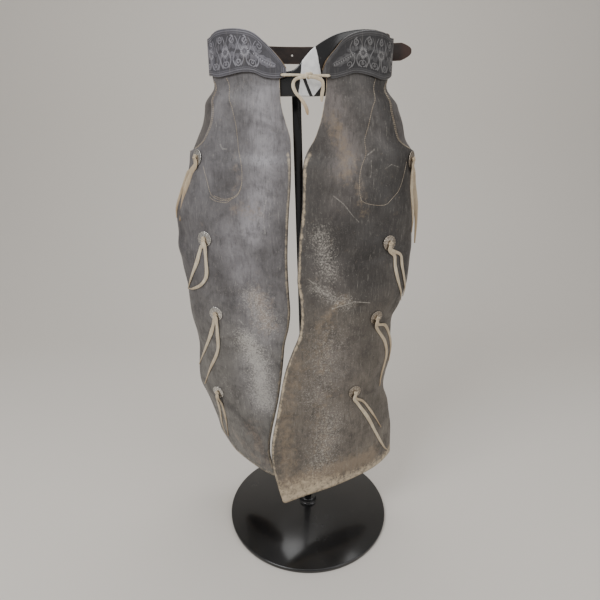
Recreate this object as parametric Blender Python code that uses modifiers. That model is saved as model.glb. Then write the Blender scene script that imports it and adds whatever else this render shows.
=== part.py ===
# Leather chaps on a round display stand. Metres, +Z up, the wearer faces -Y.
# The origin is the middle of the base's underside, on the floor.
# Sides are the wearer's: the right leg lies at -X, the left leg at +X.
import math

import bmesh
import bpy
import numpy as np
from mathutils import Matrix, Vector
from mathutils.bvhtree import BVHTree

COLLECTION = "leather_chaps_on_stand"
CUTTERS = "cutters"

# Leather and the gaps between layers
LEG_LEATHER = 0.0025
YOKE_LEATHER = 0.004
STRAP_LEATHER = 0.003
LAYER_GAP = 0.0008
SEAM_GAP = 0.0004
BUTT_GAP = 0.0005
TUCK_GAP = 0.0014

# The waist oval that every piece at the top follows
WAIST_X = -0.0215
WAIST_HALF_WIDTH = 0.1795
WAIST_HALF_DEPTH = 0.100

# Levels of the legs
HEM_LEVEL = 0.160
HEM_BLEND_LEVEL = 0.450
WING_TOP = 0.974
TOP_LEVEL = 1.118
ROWS_BELOW = 22
ROWS_ABOVE = 6
WAIST_FULL = 1.094
WAIST_NONE = 1.055

# Turn of the leather at the inner fold, and the seam behind it
FOLD_RADIUS = 0.007
FOLD_RUN = 0.024
WRAP = 0.015
FOLD_TOP = 0.935
CROTCH = 0.965

# The back slips under the front this far inside the front's edge
LEAVE = 0.012
BACK_RISE = 0.915
BACK_TOP_LENGTH = 0.035

# A level of a leg: where the inner fold and the outer edge lie, the angles at which
# the front leaves the fold (lead) and reaches the edge (roll), the angle at which the
# back leaves the fold (rear), and the reach of the back behind the edge (belly)
COLUMNS = ("z", "fold_x", "fold_y", "edge_x", "edge_y", "lead", "roll", "rear", "belly")
RIGHT_LEG = (
    (1.118, -0.061, -0.099, -0.204, 0.000, 2, 84, 80, 0.140),
    (1.080, -0.060, -0.099, -0.225, 0.001, 2, 84, 80, 0.140),
    (1.050, -0.058, -0.097, -0.227, 0.002, 2, 84, 78, 0.130),
    (1.020, -0.050, -0.096, -0.234, 0.004, 2, 84, 74, 0.120),
    (0.990, -0.041, -0.095, -0.249, 0.007, 2, 82, 68, 0.105),
    (0.962, -0.040, -0.094, -0.262, 0.010, 3, 80, 62, 0.095),
    (0.940, -0.040, -0.093, -0.266, 0.010, 3, 78, 56, 0.085),
    (0.900, -0.041, -0.090, -0.279, 0.011, 4, 76, 55, 0.085),
    (0.860, -0.044, -0.087, -0.297, 0.011, 5, 74, 55, 0.085),
    (0.830, -0.046, -0.085, -0.304, 0.011, 6, 74, 55, 0.085),
    (0.790, -0.048, -0.083, -0.304, 0.012, 6, 74, 55, 0.082),
    (0.755, -0.049, -0.080, -0.308, 0.012, 6, 74, 55, 0.080),
    (0.728, -0.049, -0.080, -0.303, 0.012, 7, 74, 55, 0.080),
    (0.700, -0.048, -0.078, -0.300, 0.013, 7, 74, 55, 0.078),
    (0.660, -0.046, -0.076, -0.293, 0.013, 8, 74, 55, 0.076),
    (0.620, -0.044, -0.074, -0.291, 0.013, 8, 74, 55, 0.074),
    (0.580, -0.048, -0.072, -0.289, 0.014, 8, 74, 55, 0.072),
    (0.540, -0.057, -0.070, -0.282, 0.016, 8, 74, 55, 0.070),
    (0.500, -0.061, -0.068, -0.278, 0.022, 8, 74, 55, 0.068),
    (0.460, -0.065, -0.066, -0.282, 0.028, 9, 74, 56, 0.064),
    (0.420, -0.070, -0.065, -0.288, 0.037, 10, 72, 58, 0.060),
    (0.380, -0.076, -0.063, -0.288, 0.046, 12, 70, 60, 0.056),
    (0.340, -0.084, -0.062, -0.278, 0.056, 14, 68, 62, 0.052),
    (0.300, -0.092, -0.060, -0.269, 0.065, 17, 66, 64, 0.048),
    (0.260, -0.098, -0.059, -0.264, 0.077, 20, 64, 66, 0.045),
    (0.220, -0.098, -0.058, -0.260, 0.090, 22, 63, 68, 0.042),
    (0.160, -0.083, -0.058, -0.252, 0.098, 25, 62, 70, 0.040),
)
LEFT_LEG = (
    (1.118, 0.027, -0.100, 0.161, 0.000, 2, 84, 80, 0.140),
    (1.080, 0.027, -0.100, 0.180, 0.001, 2, 84, 80, 0.140),
    (1.050, 0.023, -0.100, 0.189, 0.002, 2, 84, 78, 0.130),
    (1.020, 0.017, -0.100, 0.200, 0.004, 2, 84, 72, 0.120),
    (0.990, 0.006, -0.100, 0.210, 0.007, 2, 82, 64, 0.105),
    (0.962, -0.010, -0.100, 0.229, 0.010, 3, 80, 56, 0.095),
    (0.940, -0.016, -0.100, 0.228, 0.010, 3, 78, 50, 0.085),
    (0.900, -0.017, -0.101, 0.229, 0.011, 4, 76, 50, 0.085),
    (0.860, -0.018, -0.102, 0.234, 0.011, 5, 74, 50, 0.085),
    (0.830, -0.020, -0.102, 0.237, 0.011, 6, 74, 50, 0.085),
    (0.790, -0.024, -0.103, 0.237, 0.012, 7, 74, 48, 0.082),
    (0.755, -0.026, -0.104, 0.240, 0.012, 8, 74, 48, 0.080),
    (0.728, -0.027, -0.106, 0.238, 0.012, 9, 74, 46, 0.080),
    (0.700, -0.028, -0.107, 0.236, 0.012, 10, 74, 45, 0.078),
    (0.660, -0.022, -0.110, 0.233, 0.012, 11, 74, 44, 0.076),
    (0.620, -0.020, -0.112, 0.222, 0.012, 12, 74, 43, 0.074),
    (0.580, -0.025, -0.115, 0.205, 0.012, 13, 74, 42, 0.072),
    (0.540, -0.040, -0.117, 0.205, 0.012, 14, 74, 41, 0.070),
    (0.500, -0.054, -0.120, 0.207, 0.012, 15, 74, 40, 0.068),
    (0.460, -0.063, -0.123, 0.206, 0.013, 16, 72, 39, 0.064),
    (0.420, -0.070, -0.126, 0.199, 0.014, 17, 70, 38, 0.060),
    (0.380, -0.077, -0.129, 0.196, 0.016, 18, 68, 38, 0.056),
    (0.340, -0.085, -0.132, 0.209, 0.017, 19, 66, 38, 0.052),
    (0.300, -0.090, -0.135, 0.216, 0.018, 20, 64, 38, 0.048),
    (0.260, -0.088, -0.137, 0.222, 0.020, 21, 62, 38, 0.045),
    (0.220, -0.081, -0.139, 0.226, 0.022, 22, 60, 38, 0.042),
    (0.160, -0.065, -0.142, 0.229, 0.024, 23, 58, 38, 0.040),
)

# Hem height at the fold and at the outer edge, each leg
HEMS = {"right": (0.160, 0.190), "left": (0.150, 0.170)}

# The slash pocket's edge: how far inside the hip's outline it lies, level by level
SLASH_COLUMNS = ("z", "inset")
SLASH = ((1.118, 0.018), (1.100, 0.028), (1.080, 0.046), (1.054, 0.060), (1.018, 0.063),
         (0.992, 0.060), (0.974, 0.052), (0.160, 0.052))

# How far inside the front's outer edge the tucked back ends, each leg
TUCK_COLUMNS = ("z", "inset")
TUCKS = {
    "right": ((1.118, 0.060), (1.050, 0.086), (0.954, 0.082), (0.786, 0.132), (0.610, 0.128),
              (0.390, 0.116), (0.160, 0.110)),
    "left": ((1.118, 0.060), (1.050, 0.086), (0.950, 0.078), (0.778, 0.128), (0.606, 0.126),
             (0.418, 0.152), (0.160, 0.140)),
}

# The conchos: level, and distance inside the front's outer edge
CONCHO_COLUMNS = ("z", "inset")
CONCHOS = {
    "right": ((0.954, 0.056), (0.786, 0.110), (0.610, 0.106), (0.386, 0.094)),
    "left": ((0.950, 0.040), (0.778, 0.106), (0.606, 0.104), (0.418, 0.132)),
}
CONCHO_RADIUS = 0.0165
CONCHO_HEIGHT = 0.0034
CONCHO_SEAT = 0.0004
CONCHO_PROBE = 0.010
KNOT_SIZE = (0.0045, 0.0034, 0.0042)

# Each tie has two strands, each a list of level and distance inside the front's edge;
# a strand that hangs past the edge has a distance below zero
STRANDS = {
    "right": (
        (((0.922, 0.044), (0.874, 0.036), (0.818, 0.030)),
         ((0.927, 0.038), (0.914, 0.016), (0.850, 0.006), (0.822, 0.010))),
        (((0.766, 0.102), (0.730, 0.082), (0.690, 0.052), (0.652, 0.008)),
         ((0.740, 0.110), (0.702, 0.102), (0.678, 0.080), (0.662, 0.046), (0.656, 0.022))),
        (((0.578, 0.094), (0.550, 0.078), (0.502, 0.046), (0.442, 0.010)),
         ((0.556, 0.100), (0.510, 0.090), (0.450, 0.066), (0.394, 0.046))),
        (((0.346, 0.078), (0.300, 0.064), (0.240, 0.054), (0.192, 0.060)),
         ((0.340, 0.092), (0.280, 0.084), (0.205, 0.080))),
    ),
    "left": (
        (((0.915, 0.004), (0.862, -0.004), (0.818, -0.006), (0.762, -0.006)),
         ((0.915, 0.026), (0.880, 0.022), (0.830, 0.018), (0.790, 0.016))),
        (((0.748, 0.092), (0.722, 0.084), (0.686, 0.066), (0.652, 0.040), (0.622, 0.006)),
         ((0.748, 0.074), (0.722, 0.062), (0.690, 0.044), (0.660, 0.024), (0.634, 0.010))),
        (((0.570, 0.082), (0.530, 0.052), (0.490, 0.044), (0.438, 0.048), (0.402, 0.040)),
         ((0.572, 0.052), (0.532, 0.020), (0.500, 0.012), (0.466, 0.020))),
        (((0.378, 0.116), (0.330, 0.098), (0.270, 0.074), (0.206, 0.042), (0.182, 0.022)),
         ((0.378, 0.098), (0.330, 0.078), (0.282, 0.056))),
    ),
}
STRAND_WIDTH = 0.0056
STRAND_TIP_WIDTH = 0.0022
STRAND_LEATHER = 0.0018
STRAND_LIFT = 0.0026
STRAND_SPREAD = 0.0030
STRAND_STAGGER = 0.0008
STRAND_DROP = 0.020

# The yokes: angle round the waist oval, lower and upper edge
YOKE_COLUMNS = ("angle", "low", "high")
YOKES = {
    "right": ((8.2, 1.1000, 1.1105), (11.3, 1.0962, 1.1255), (16.2, 1.0955, 1.1427),
              (22.0, 1.0985, 1.1595), (28.2, 1.1062, 1.1733), (36.5, 1.1083, 1.1807),
              (49.0, 1.1050, 1.1841), (60.5, 1.1036, 1.1836), (72.0, 1.1085, 1.1775),
              (86.0, 1.1112, 1.1790)),
    "left": ((12.8, 1.0998, 1.1070), (15.4, 1.0965, 1.1263), (19.8, 1.0955, 1.1431),
             (25.8, 1.1000, 1.1633), (34.5, 1.1066, 1.1754), (45.5, 1.1042, 1.1806),
             (59.5, 1.0993, 1.1808), (70.8, 1.1030, 1.1760), (84.0, 1.1112, 1.1800)),
}
YOKE_INNER = LEG_LEATHER + LAYER_GAP
YOKE_COLUMNS_COUNT = 24
YOKE_ROWS_COUNT = 4

# The belt: a flat strap round the back, its straight end past the buckle, its holes
STRAP_MIDDLE = 1.167
STRAP_WIDTH = 0.034
STRAP_INNER = -0.0003
STRAP_START = 70.0
STRAP_LEAVES = 155.0
STRAP_RUN = 0.166
STRAP_POINT = 0.022
STRAP_HOLE_RADIUS = 0.0022
STRAP_HOLES = (0.046, 0.071, 0.121, 0.146, 0.261)
BILLET_START = 70.0
BILLET_END = 129.0
BUCKLE_PLACE = 0.096
BUCKLE_BAR = 0.002
BUCKLE_HALF_LENGTH = 0.014
BUCKLE_SLIT = 0.0008
TONGUE_RADIUS = 0.0013
TONGUE_SLOT = (0.0045, 0.0022)

# The front lace: hole in each yoke as angle and height, knot, and free ends
LACE_RADIUS = 0.0018
LACE_HOLE_RADIUS = 0.0028
LACE_HOLES = {"right": (10.7, 1.1010), "left": (16.6, 1.0998)}
LACE_BEHIND = {"right": 0.0014, "left": -0.0016}
LACE_KNOT = (-0.0058, -0.1105, 1.1000)
LACE_ENDS = (
    ((-0.0131, -0.1130, 1.0975), (-0.0300, -0.1140, 1.0930), (-0.0350, -0.1145, 1.0830),
     (-0.0300, -0.1150, 1.0700), (-0.0205, -0.1150, 1.0600), (-0.0110, -0.1150, 1.0450),
     (-0.0076, -0.1150, 1.0320)),
    ((-0.0010, -0.1130, 1.0970), (0.0105, -0.1145, 1.0945), (0.0190, -0.1155, 1.0890),
     (0.0200, -0.1160, 1.0780), (0.0185, -0.1160, 1.0670), (0.0182, -0.1160, 1.0550)),
)

# The stand: a domed iron disc, a square post that leans, a cross bar and a hip form
BASE_RADIUS = 0.216
BASE_RIM = 0.010
BASE_DOME = 0.030
BOSS_RADIUS = 0.024
BOSS_TOP = 0.044
POST_SIDE = 0.019
POST_TOP_X = -0.030
CROSSBAR_LOW = 1.084
CROSSBAR_SIDE = 0.020
FORM_OUTER = -0.0047
FORM_WALL = 0.008
FORM_SEAT = 0.0016
FORM_COLUMNS = ("angle", "low", "high")
FORM = ((-180, 1.090, 1.132), (-135, 1.084, 1.140), (-90, 1.076, 1.165), (-50, 1.070, 1.140),
        (-14, 1.066, 1.111), (-4, 1.066, 1.112), (1, 1.066, 1.127), (7, 1.066, 1.146),
        (17, 1.067, 1.165), (27, 1.069, 1.176), (44, 1.072, 1.184), (66, 1.075, 1.184),
        (90, 1.076, 1.165), (135, 1.084, 1.140), (180, 1.090, 1.132))

MATERIALS = {
    "leg_leather": ((0.085, 0.078, 0.076), 0.62, 0.0),
    "yoke_leather": ((0.060, 0.058, 0.064), 0.50, 0.0),
    "strap_leather": ((0.060, 0.032, 0.022), 0.55, 0.0),
    "thong_leather": ((0.700, 0.620, 0.470), 0.80, 0.0),
    "concho_metal": ((0.560, 0.540, 0.500), 0.38, 1.0),
    "buckle_metal": ((0.420, 0.400, 0.370), 0.40, 1.0),
    "stand_paint": ((0.012, 0.012, 0.013), 0.28, 0.0),
}


def smooth(value):
    value = min(max(value, 0.0), 1.0)
    return value * value * (3.0 - 2.0 * value)


def read_table(columns, rows, z):
    # A smooth curve through one table's rows, read at height z
    table = np.array(sorted(rows), float)
    heights = table[:, 0]
    z = min(max(z, heights[0]), heights[-1])
    low = min(max(int(np.searchsorted(heights, z)) - 1, 0), len(heights) - 2)
    step = heights[low + 1] - heights[low]
    share = (z - heights[low]) / step
    before = table[max(low - 1, 0)]
    after = table[min(low + 2, len(heights) - 1)]
    slope_low = (table[low + 1] - before) / max(heights[low + 1] - before[0], 1e-9)
    slope_high = (after - table[low]) / max(after[0] - heights[low], 1e-9)
    square, cube = share * share, share ** 3
    row = (2 * cube - 3 * square + 1) * table[low] + (cube - 2 * square + share) * step * slope_low
    row = row + (3 * square - 2 * cube) * table[low + 1] + (cube - square) * step * slope_high
    return dict(zip(columns, row))


def bezier(start, lead, pull, end, count):
    # A cubic curve from start to end with its two handle points
    t = np.linspace(0.0, 1.0, count)[:, None]
    return ((1 - t) ** 3) * start + 3 * t * (1 - t) ** 2 * lead + 3 * t * t * (1 - t) * pull + t ** 3 * end


def turned(degrees):
    return np.array((math.cos(math.radians(degrees)), math.sin(math.radians(degrees))))


def resample(line, count):
    # The same line with its points evenly spaced
    lengths = np.concatenate(([0.0], np.cumsum(np.linalg.norm(np.diff(line, axis=0), axis=1))))
    stations = np.linspace(0.0, lengths[-1], count)
    return np.column_stack([np.interp(stations, lengths, line[:, axis]) for axis in (0, 1)])


def at_lengths(line, stations):
    # Points at given lengths along a line, run on straight past its end
    lengths = np.concatenate(([0.0], np.cumsum(np.linalg.norm(np.diff(line, axis=0), axis=1))))
    points = np.column_stack([np.interp(stations, lengths, line[:, axis]) for axis in (0, 1)])
    heading = (line[-1] - line[-2]) / np.linalg.norm(line[-1] - line[-2])
    beyond = np.maximum(np.asarray(stations) - lengths[-1], 0.0)
    return points + beyond[:, None] * heading


def line_length(line):
    return float(np.linalg.norm(np.diff(line, axis=0), axis=1).sum())


def moved_inward(line, distance):
    # Shifts a front line towards the inside of the leg, in the outward frame
    heading = np.gradient(line, axis=0)
    heading = heading / np.linalg.norm(heading, axis=1)[:, None]
    return line + distance * np.column_stack((-heading[:, 1], heading[:, 0]))


def waist_point(angle, grown=0.0):
    # The oval of the waist: 0 at the front, 90 at the side, 180 at the back
    across = (WAIST_HALF_WIDTH + grown) * np.sin(np.radians(angle))
    return across, -(WAIST_HALF_DEPTH + grown) * np.cos(np.radians(angle))


def leg_lines(side, z, count=60):
    # The front line (fold to outer edge) and the rear line (fold to where the back
    # slips under the front), in a frame whose x runs outwards from the wearer's middle
    sign = -1.0 if side == "right" else 1.0
    row = read_table(COLUMNS, RIGHT_LEG if side == "right" else LEFT_LEG, z)
    fold = np.array((sign * row["fold_x"], row["fold_y"]))
    edge = np.array((sign * row["edge_x"], row["edge_y"]))
    reach = float(np.linalg.norm(edge - fold))
    radius = FOLD_RADIUS * (1.0 - 0.93 * smooth((z - FOLD_TOP) / (CROTCH - FOLD_TOP)))
    middle = fold + np.array((radius, 0.0))
    lead, roll, rear = row["lead"], row["roll"], row["rear"]
    front_turn = [middle + radius * turned(angle) for angle in np.linspace(-180, lead - 90, 12)]
    rear_turn = [middle + radius * turned(angle) for angle in np.linspace(-180, rear - 270, 12)]
    front = bezier(front_turn[-1], front_turn[-1] + 0.42 * reach * turned(lead),
                   edge - 0.33 * reach * turned(roll), edge, 80)
    front = resample(np.vstack((front_turn[:-1], front)), count)
    leave = at_lengths(moved_inward(front, LEG_LEATHER + TUCK_GAP), [line_length(front) - LEAVE])[0]
    back = bezier(rear_turn[-1], rear_turn[-1] + 0.36 * reach * turned(rear),
                  leave + 1.15 * row["belly"] * turned(96), leave, 80)
    back = resample(np.vstack((rear_turn[:-1], back)), count)
    # Towards the top both lines pass over into the oval of the waist
    share = smooth((z - WAIST_NONE) / (WAIST_FULL - WAIST_NONE))
    if share > 0.0:
        offset = sign * WAIST_X
        start = math.degrees(math.asin((fold[0] - offset) / (WAIST_HALF_WIDTH + LEG_LEATHER)))
        across, along = waist_point(np.linspace(start, 90.0, count), LEG_LEATHER)
        front = (1 - share) * front + share * np.column_stack((across + offset, along))
        across, along = waist_point(np.linspace(180.0 - start, 90.0, count), -TUCK_GAP)
        back = (1 - share) * back + share * np.column_stack((across + offset, along))
    return front, back


def hem_height(side, level, across, fold_x, edge_x):
    # Near the hem the rows tip from level to the slope of the hem
    low, high = HEMS[side]
    share = min(max((across - fold_x) / (edge_x - fold_x), 0.0), 1.0)
    pull = min(max((HEM_BLEND_LEVEL - level) / (HEM_BLEND_LEVEL - HEM_LEVEL), 0.0), 1.0) ** 2
    return level + pull * (low + (high - low) * share - HEM_LEVEL)


def in_space(side, level, line, front):
    # A line of the outward frame as points in space
    sign = -1.0 if side == "right" else 1.0
    points = []
    for across, along in line:
        height = hem_height(side, level, across, front[0][0], front[-1][0])
        points.append(Vector((sign * across, along, height)))
    return points


def leg_levels():
    below = np.linspace(HEM_LEVEL, WING_TOP, ROWS_BELOW)
    above = np.linspace(WING_TOP, TOP_LEVEL, ROWS_ABOVE)
    return np.concatenate((below, above[1:]))


def front_rows(side):
    # Above the wing the front ends at the slash pocket's edge, and the rest of the row is open
    rows = []
    for z in leg_levels():
        front, back = leg_lines(side, z)
        length = line_length(front)
        slash = length - read_table(SLASH_COLUMNS, SLASH, z)["inset"]
        tuck = length - read_table(TUCK_COLUMNS, TUCKS[side], z)["inset"]
        wrap = WRAP * (1.0 - smooth((z - FOLD_TOP) / (CROTCH - FOLD_TOP)))
        behind = at_lengths(back, [wrap, wrap / 2]) if wrap > 0.001 else at_lengths(front, [0.0, 0.001])
        first = 0.0 if wrap > 0.001 else 0.002
        stations = np.concatenate((np.linspace(first, FOLD_RUN, 4)[:-1],
                                   np.linspace(FOLD_RUN, tuck, 9)[:-1],
                                   np.linspace(tuck, slash, 5)[:-1], np.linspace(slash, length, 5)))
        line = np.vstack((behind, at_lengths(front, stations)))
        row = in_space(side, z, line, front)
        if z > WING_TOP + 0.001:
            row[-4:] = [None] * 4
        rows.append(row)
    return rows


def back_rows(side):
    rows = []
    for z in leg_levels():
        front, back = leg_lines(side, z)
        length = line_length(front)
        rear = line_length(back)
        rise = min(max((z - BACK_RISE) / (TOP_LEVEL - BACK_RISE), 0.0), 1.0) ** 0.6
        start = (WRAP + BUTT_GAP) * (1 - rise) + (rear - BACK_TOP_LENGTH) * rise
        stations = np.linspace(start, rear, 12)
        tucked = moved_inward(front, LEG_LEATHER + TUCK_GAP)
        inner = line_length(tucked)
        tuck = read_table(TUCK_COLUMNS, TUCKS[side], z)["inset"]
        strip = at_lengths(tucked, np.linspace(inner - LEAVE, inner - tuck, 8)[1:])
        line = np.vstack((at_lengths(back, stations), strip))
        rows.append(in_space(side, z, line, front))
    return rows


def new_collection(name):
    collection = bpy.data.collections.new(name)
    bpy.context.scene.collection.children.link(collection)
    return collection


def make_materials():
    made = {}
    for name, (colour, roughness, metallic) in MATERIALS.items():
        material = bpy.data.materials.new(name)
        material.use_nodes = True
        shader = material.node_tree.nodes["Principled BSDF"]
        shader.inputs["Base Color"].default_value = (*colour, 1.0)
        shader.inputs["Roughness"].default_value = roughness
        shader.inputs["Metallic"].default_value = metallic
        made[name] = material
    return made


def add_object(name, mesh, material, collection):
    item = bpy.data.objects.new(name, mesh)
    if material is not None:
        mesh.materials.append(material)
    collection.objects.link(item)
    return item


def grid_mesh(name, rows, flip):
    # An open surface through rows of points; where a row holds None the surface is left out
    numbers = {}
    points = []
    for i, row in enumerate(rows):
        for j, point in enumerate(row):
            if point is not None:
                numbers[i, j] = len(points)
                points.append(tuple(point))
    faces = []
    for i in range(len(rows) - 1):
        for j in range(len(rows[0]) - 1):
            corners = ((i, j), (i, j + 1), (i + 1, j + 1), (i + 1, j))
            if all(corner in numbers for corner in corners):
                face = [numbers[corner] for corner in corners]
                faces.append(face[::-1] if flip else face)
    mesh = bpy.data.meshes.new(name)
    mesh.from_pydata(points, [], faces)
    mesh.shade_smooth()
    return mesh


def sheet(name, rows, flip, thickness, grow, material, collection):
    # A wall of leather: the open surface thickened to its outer (1) or inner (-1) side
    item = add_object(name, grid_mesh(name, rows, flip), material, collection)
    wall = item.modifiers.new("wall", "SOLIDIFY")
    wall.thickness = thickness
    wall.offset = grow
    wall.use_even_offset = True
    return item


def tube(name, points, radius, closed, material, collection):
    curve = bpy.data.curves.new(name, "CURVE")
    curve.dimensions = "3D"
    curve.bevel_depth = radius
    curve.bevel_resolution = 1
    curve.use_fill_caps = not closed
    spline = curve.splines.new("POLY")
    spline.points.add(len(points) - 1)
    for point, place in zip(spline.points, points):
        point.co = (*place, 1.0)
    spline.use_cyclic_u = closed
    curve.materials.append(material)
    item = bpy.data.objects.new(name, curve)
    collection.objects.link(item)
    return item


def as_mesh(item):
    # The evaluated object as a plain mesh object of the same name
    collection = item.users_collection[0]
    graph = bpy.context.evaluated_depsgraph_get()
    mesh = bpy.data.meshes.new_from_object(item.evaluated_get(graph))
    work = bmesh.new()
    work.from_mesh(mesh)
    bmesh.ops.remove_doubles(work, verts=work.verts, dist=0.00001)
    bmesh.ops.recalc_face_normals(work, faces=work.faces)
    work.to_mesh(mesh)
    work.free()
    name, place = item.name, item.matrix_world.copy()
    bpy.data.objects.remove(item)
    made = bpy.data.objects.new(name, mesh)
    made.matrix_world = place
    collection.objects.link(made)
    return made


def smooth_path(points, count):
    # A Catmull-Rom curve through points, evenly read
    points = np.array(points, float)
    padded = np.vstack((2 * points[0] - points[1], points, 2 * points[-1] - points[-2]))
    places = []
    for share in np.linspace(0.0, len(points) - 1.0, count):
        k = min(int(share), len(points) - 2)
        t = share - k
        a, b, c, d = padded[k:k + 4]
        places.append(0.5 * (2 * b + (c - a) * t + (2 * a - 5 * b + 4 * c - d) * t * t
                             + (3 * b - a - 3 * c + d) * t ** 3))
    return [Vector(place) for place in places]


def join_solids(item, others, operation, cutters):
    # Joins or cuts an object with others, and keeps them as hidden guides
    for other in others:
        step = item.modifiers.new(operation.lower(), "BOOLEAN")
        step.operation = operation
        step.object = other
        for collection in list(other.users_collection):
            collection.objects.unlink(other)
        cutters.objects.link(other)
        other.hide_render = True
        other.display_type = "WIRE"


def rod_cutter(name, middle, axis, radius, length, collection):
    work = bmesh.new()
    turn = axis.to_track_quat("Z", "Y").to_matrix().to_4x4()
    bmesh.ops.create_cone(work, cap_ends=True, segments=8, radius1=radius, radius2=radius,
                          depth=length, matrix=Matrix.Translation(middle) @ turn)
    mesh = bpy.data.meshes.new(name)
    work.to_mesh(mesh)
    work.free()
    return add_object(name, mesh, None, collection)


def lump(name, middle, turn, size, collection, material):
    # A rounded knot
    work = bmesh.new()
    bmesh.ops.create_uvsphere(work, u_segments=8, v_segments=5, radius=1.0,
                              matrix=Matrix.Translation(middle) @ turn @ Matrix.Diagonal((*size, 1.0)))
    mesh = bpy.data.meshes.new(name)
    work.to_mesh(mesh)
    work.free()
    return add_object(name, mesh, material, collection)


def front_place(side, z, inset, lift):
    # A point on a front panel by level and distance inside its outer edge, with its normal
    sign = -1.0 if side == "right" else 1.0
    front, back = leg_lines(side, z)
    length = line_length(front)
    here, ahead = at_lengths(front, [length - max(inset, 0.0) - 0.001, length - max(inset, 0.0)])
    heading = (ahead - here) / np.linalg.norm(ahead - here)
    normal = np.array((heading[1], -heading[0]))
    place = ahead + np.array((max(-inset, 0.0), 0.0)) + lift * normal
    height = hem_height(side, z, ahead[0], front[0][0], front[-1][0])
    return Vector((sign * place[0], place[1], height)), Vector((sign * normal[0], normal[1], 0.0))


def make_legs(materials, parts):
    for side in ("right", "left"):
        sheet("leg_front_" + side, front_rows(side), side == "right", LEG_LEATHER, -1,
              materials["leg_leather"], parts)
        sheet("leg_back_" + side, back_rows(side), side == "left", LEG_LEATHER, -1,
              materials["leg_leather"], parts)


def waist_space(side, angle, grown, height):
    across, along = waist_point(angle, grown)
    sign = -1.0 if side == "right" else 1.0
    return Vector((WAIST_X + sign * across, along, height))


def make_yokes(materials, parts, cutters):
    for side in ("right", "left"):
        table = YOKES[side]
        shares = np.linspace(0.0, 1.0, YOKE_COLUMNS_COUNT)
        angles = table[0][0] + (table[-1][0] - table[0][0]) * shares
        edges = [read_table(YOKE_COLUMNS, table, angle) for angle in angles]
        rows = []
        for share in np.linspace(0.0, 1.0, YOKE_ROWS_COUNT):
            rows.append([waist_space(side, edge["angle"], YOKE_INNER,
                                     edge["low"] + share * (edge["high"] - edge["low"]))
                         for edge in edges])
        yoke = sheet("yoke_" + side, rows, side == "right", YOKE_LEATHER, 1,
                     materials["yoke_leather"], parts)
        angle, height = LACE_HOLES[side]
        axis = waist_space(side, angle, 0.01, height) - waist_space(side, angle, 0.0, height)
        middle = waist_space(side, angle, YOKE_INNER, height)
        hole = rod_cutter("lace_hole_" + side, middle, axis, LACE_HOLE_RADIUS, 0.020, cutters)
        join_solids(yoke, [hole], "DIFFERENCE", cutters)
        if side == "left":
            join_solids(bpy.data.objects["leg_front_left"], [hole], "DIFFERENCE", cutters)


def strap_line():
    # The middle of the belt's inner face, from the right yoke round the back to the tip
    places = []
    for angle in np.linspace(-STRAP_START, -180.0, 26)[:-1]:
        places.append(waist_space("right", -angle, STRAP_INNER, STRAP_MIDDLE))
    for angle in np.linspace(180.0, STRAP_LEAVES, 7):
        places.append(waist_space("left", angle, STRAP_INNER, STRAP_MIDDLE))
    heading = (places[-1] - places[-2]).normalized()
    leaving = places[-1].copy()
    for run in np.linspace(0.0, STRAP_RUN - STRAP_POINT, 9)[1:]:
        places.append(leaving + heading * run)
    for run in np.linspace(STRAP_RUN - STRAP_POINT, STRAP_RUN, 7)[1:]:
        places.append(leaving + heading * run)
    return places


def strap_station(places, back):
    # The place, heading and outward normal on the belt, a distance back from its tip
    left = back
    for k in range(len(places) - 1, 0, -1):
        step = places[k] - places[k - 1]
        if step.length >= left:
            heading = step.normalized()
            return places[k] - heading * left, heading, Vector((-heading.y, heading.x, 0.0))
        left -= step.length
    raise ValueError("the belt is shorter than that")


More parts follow.
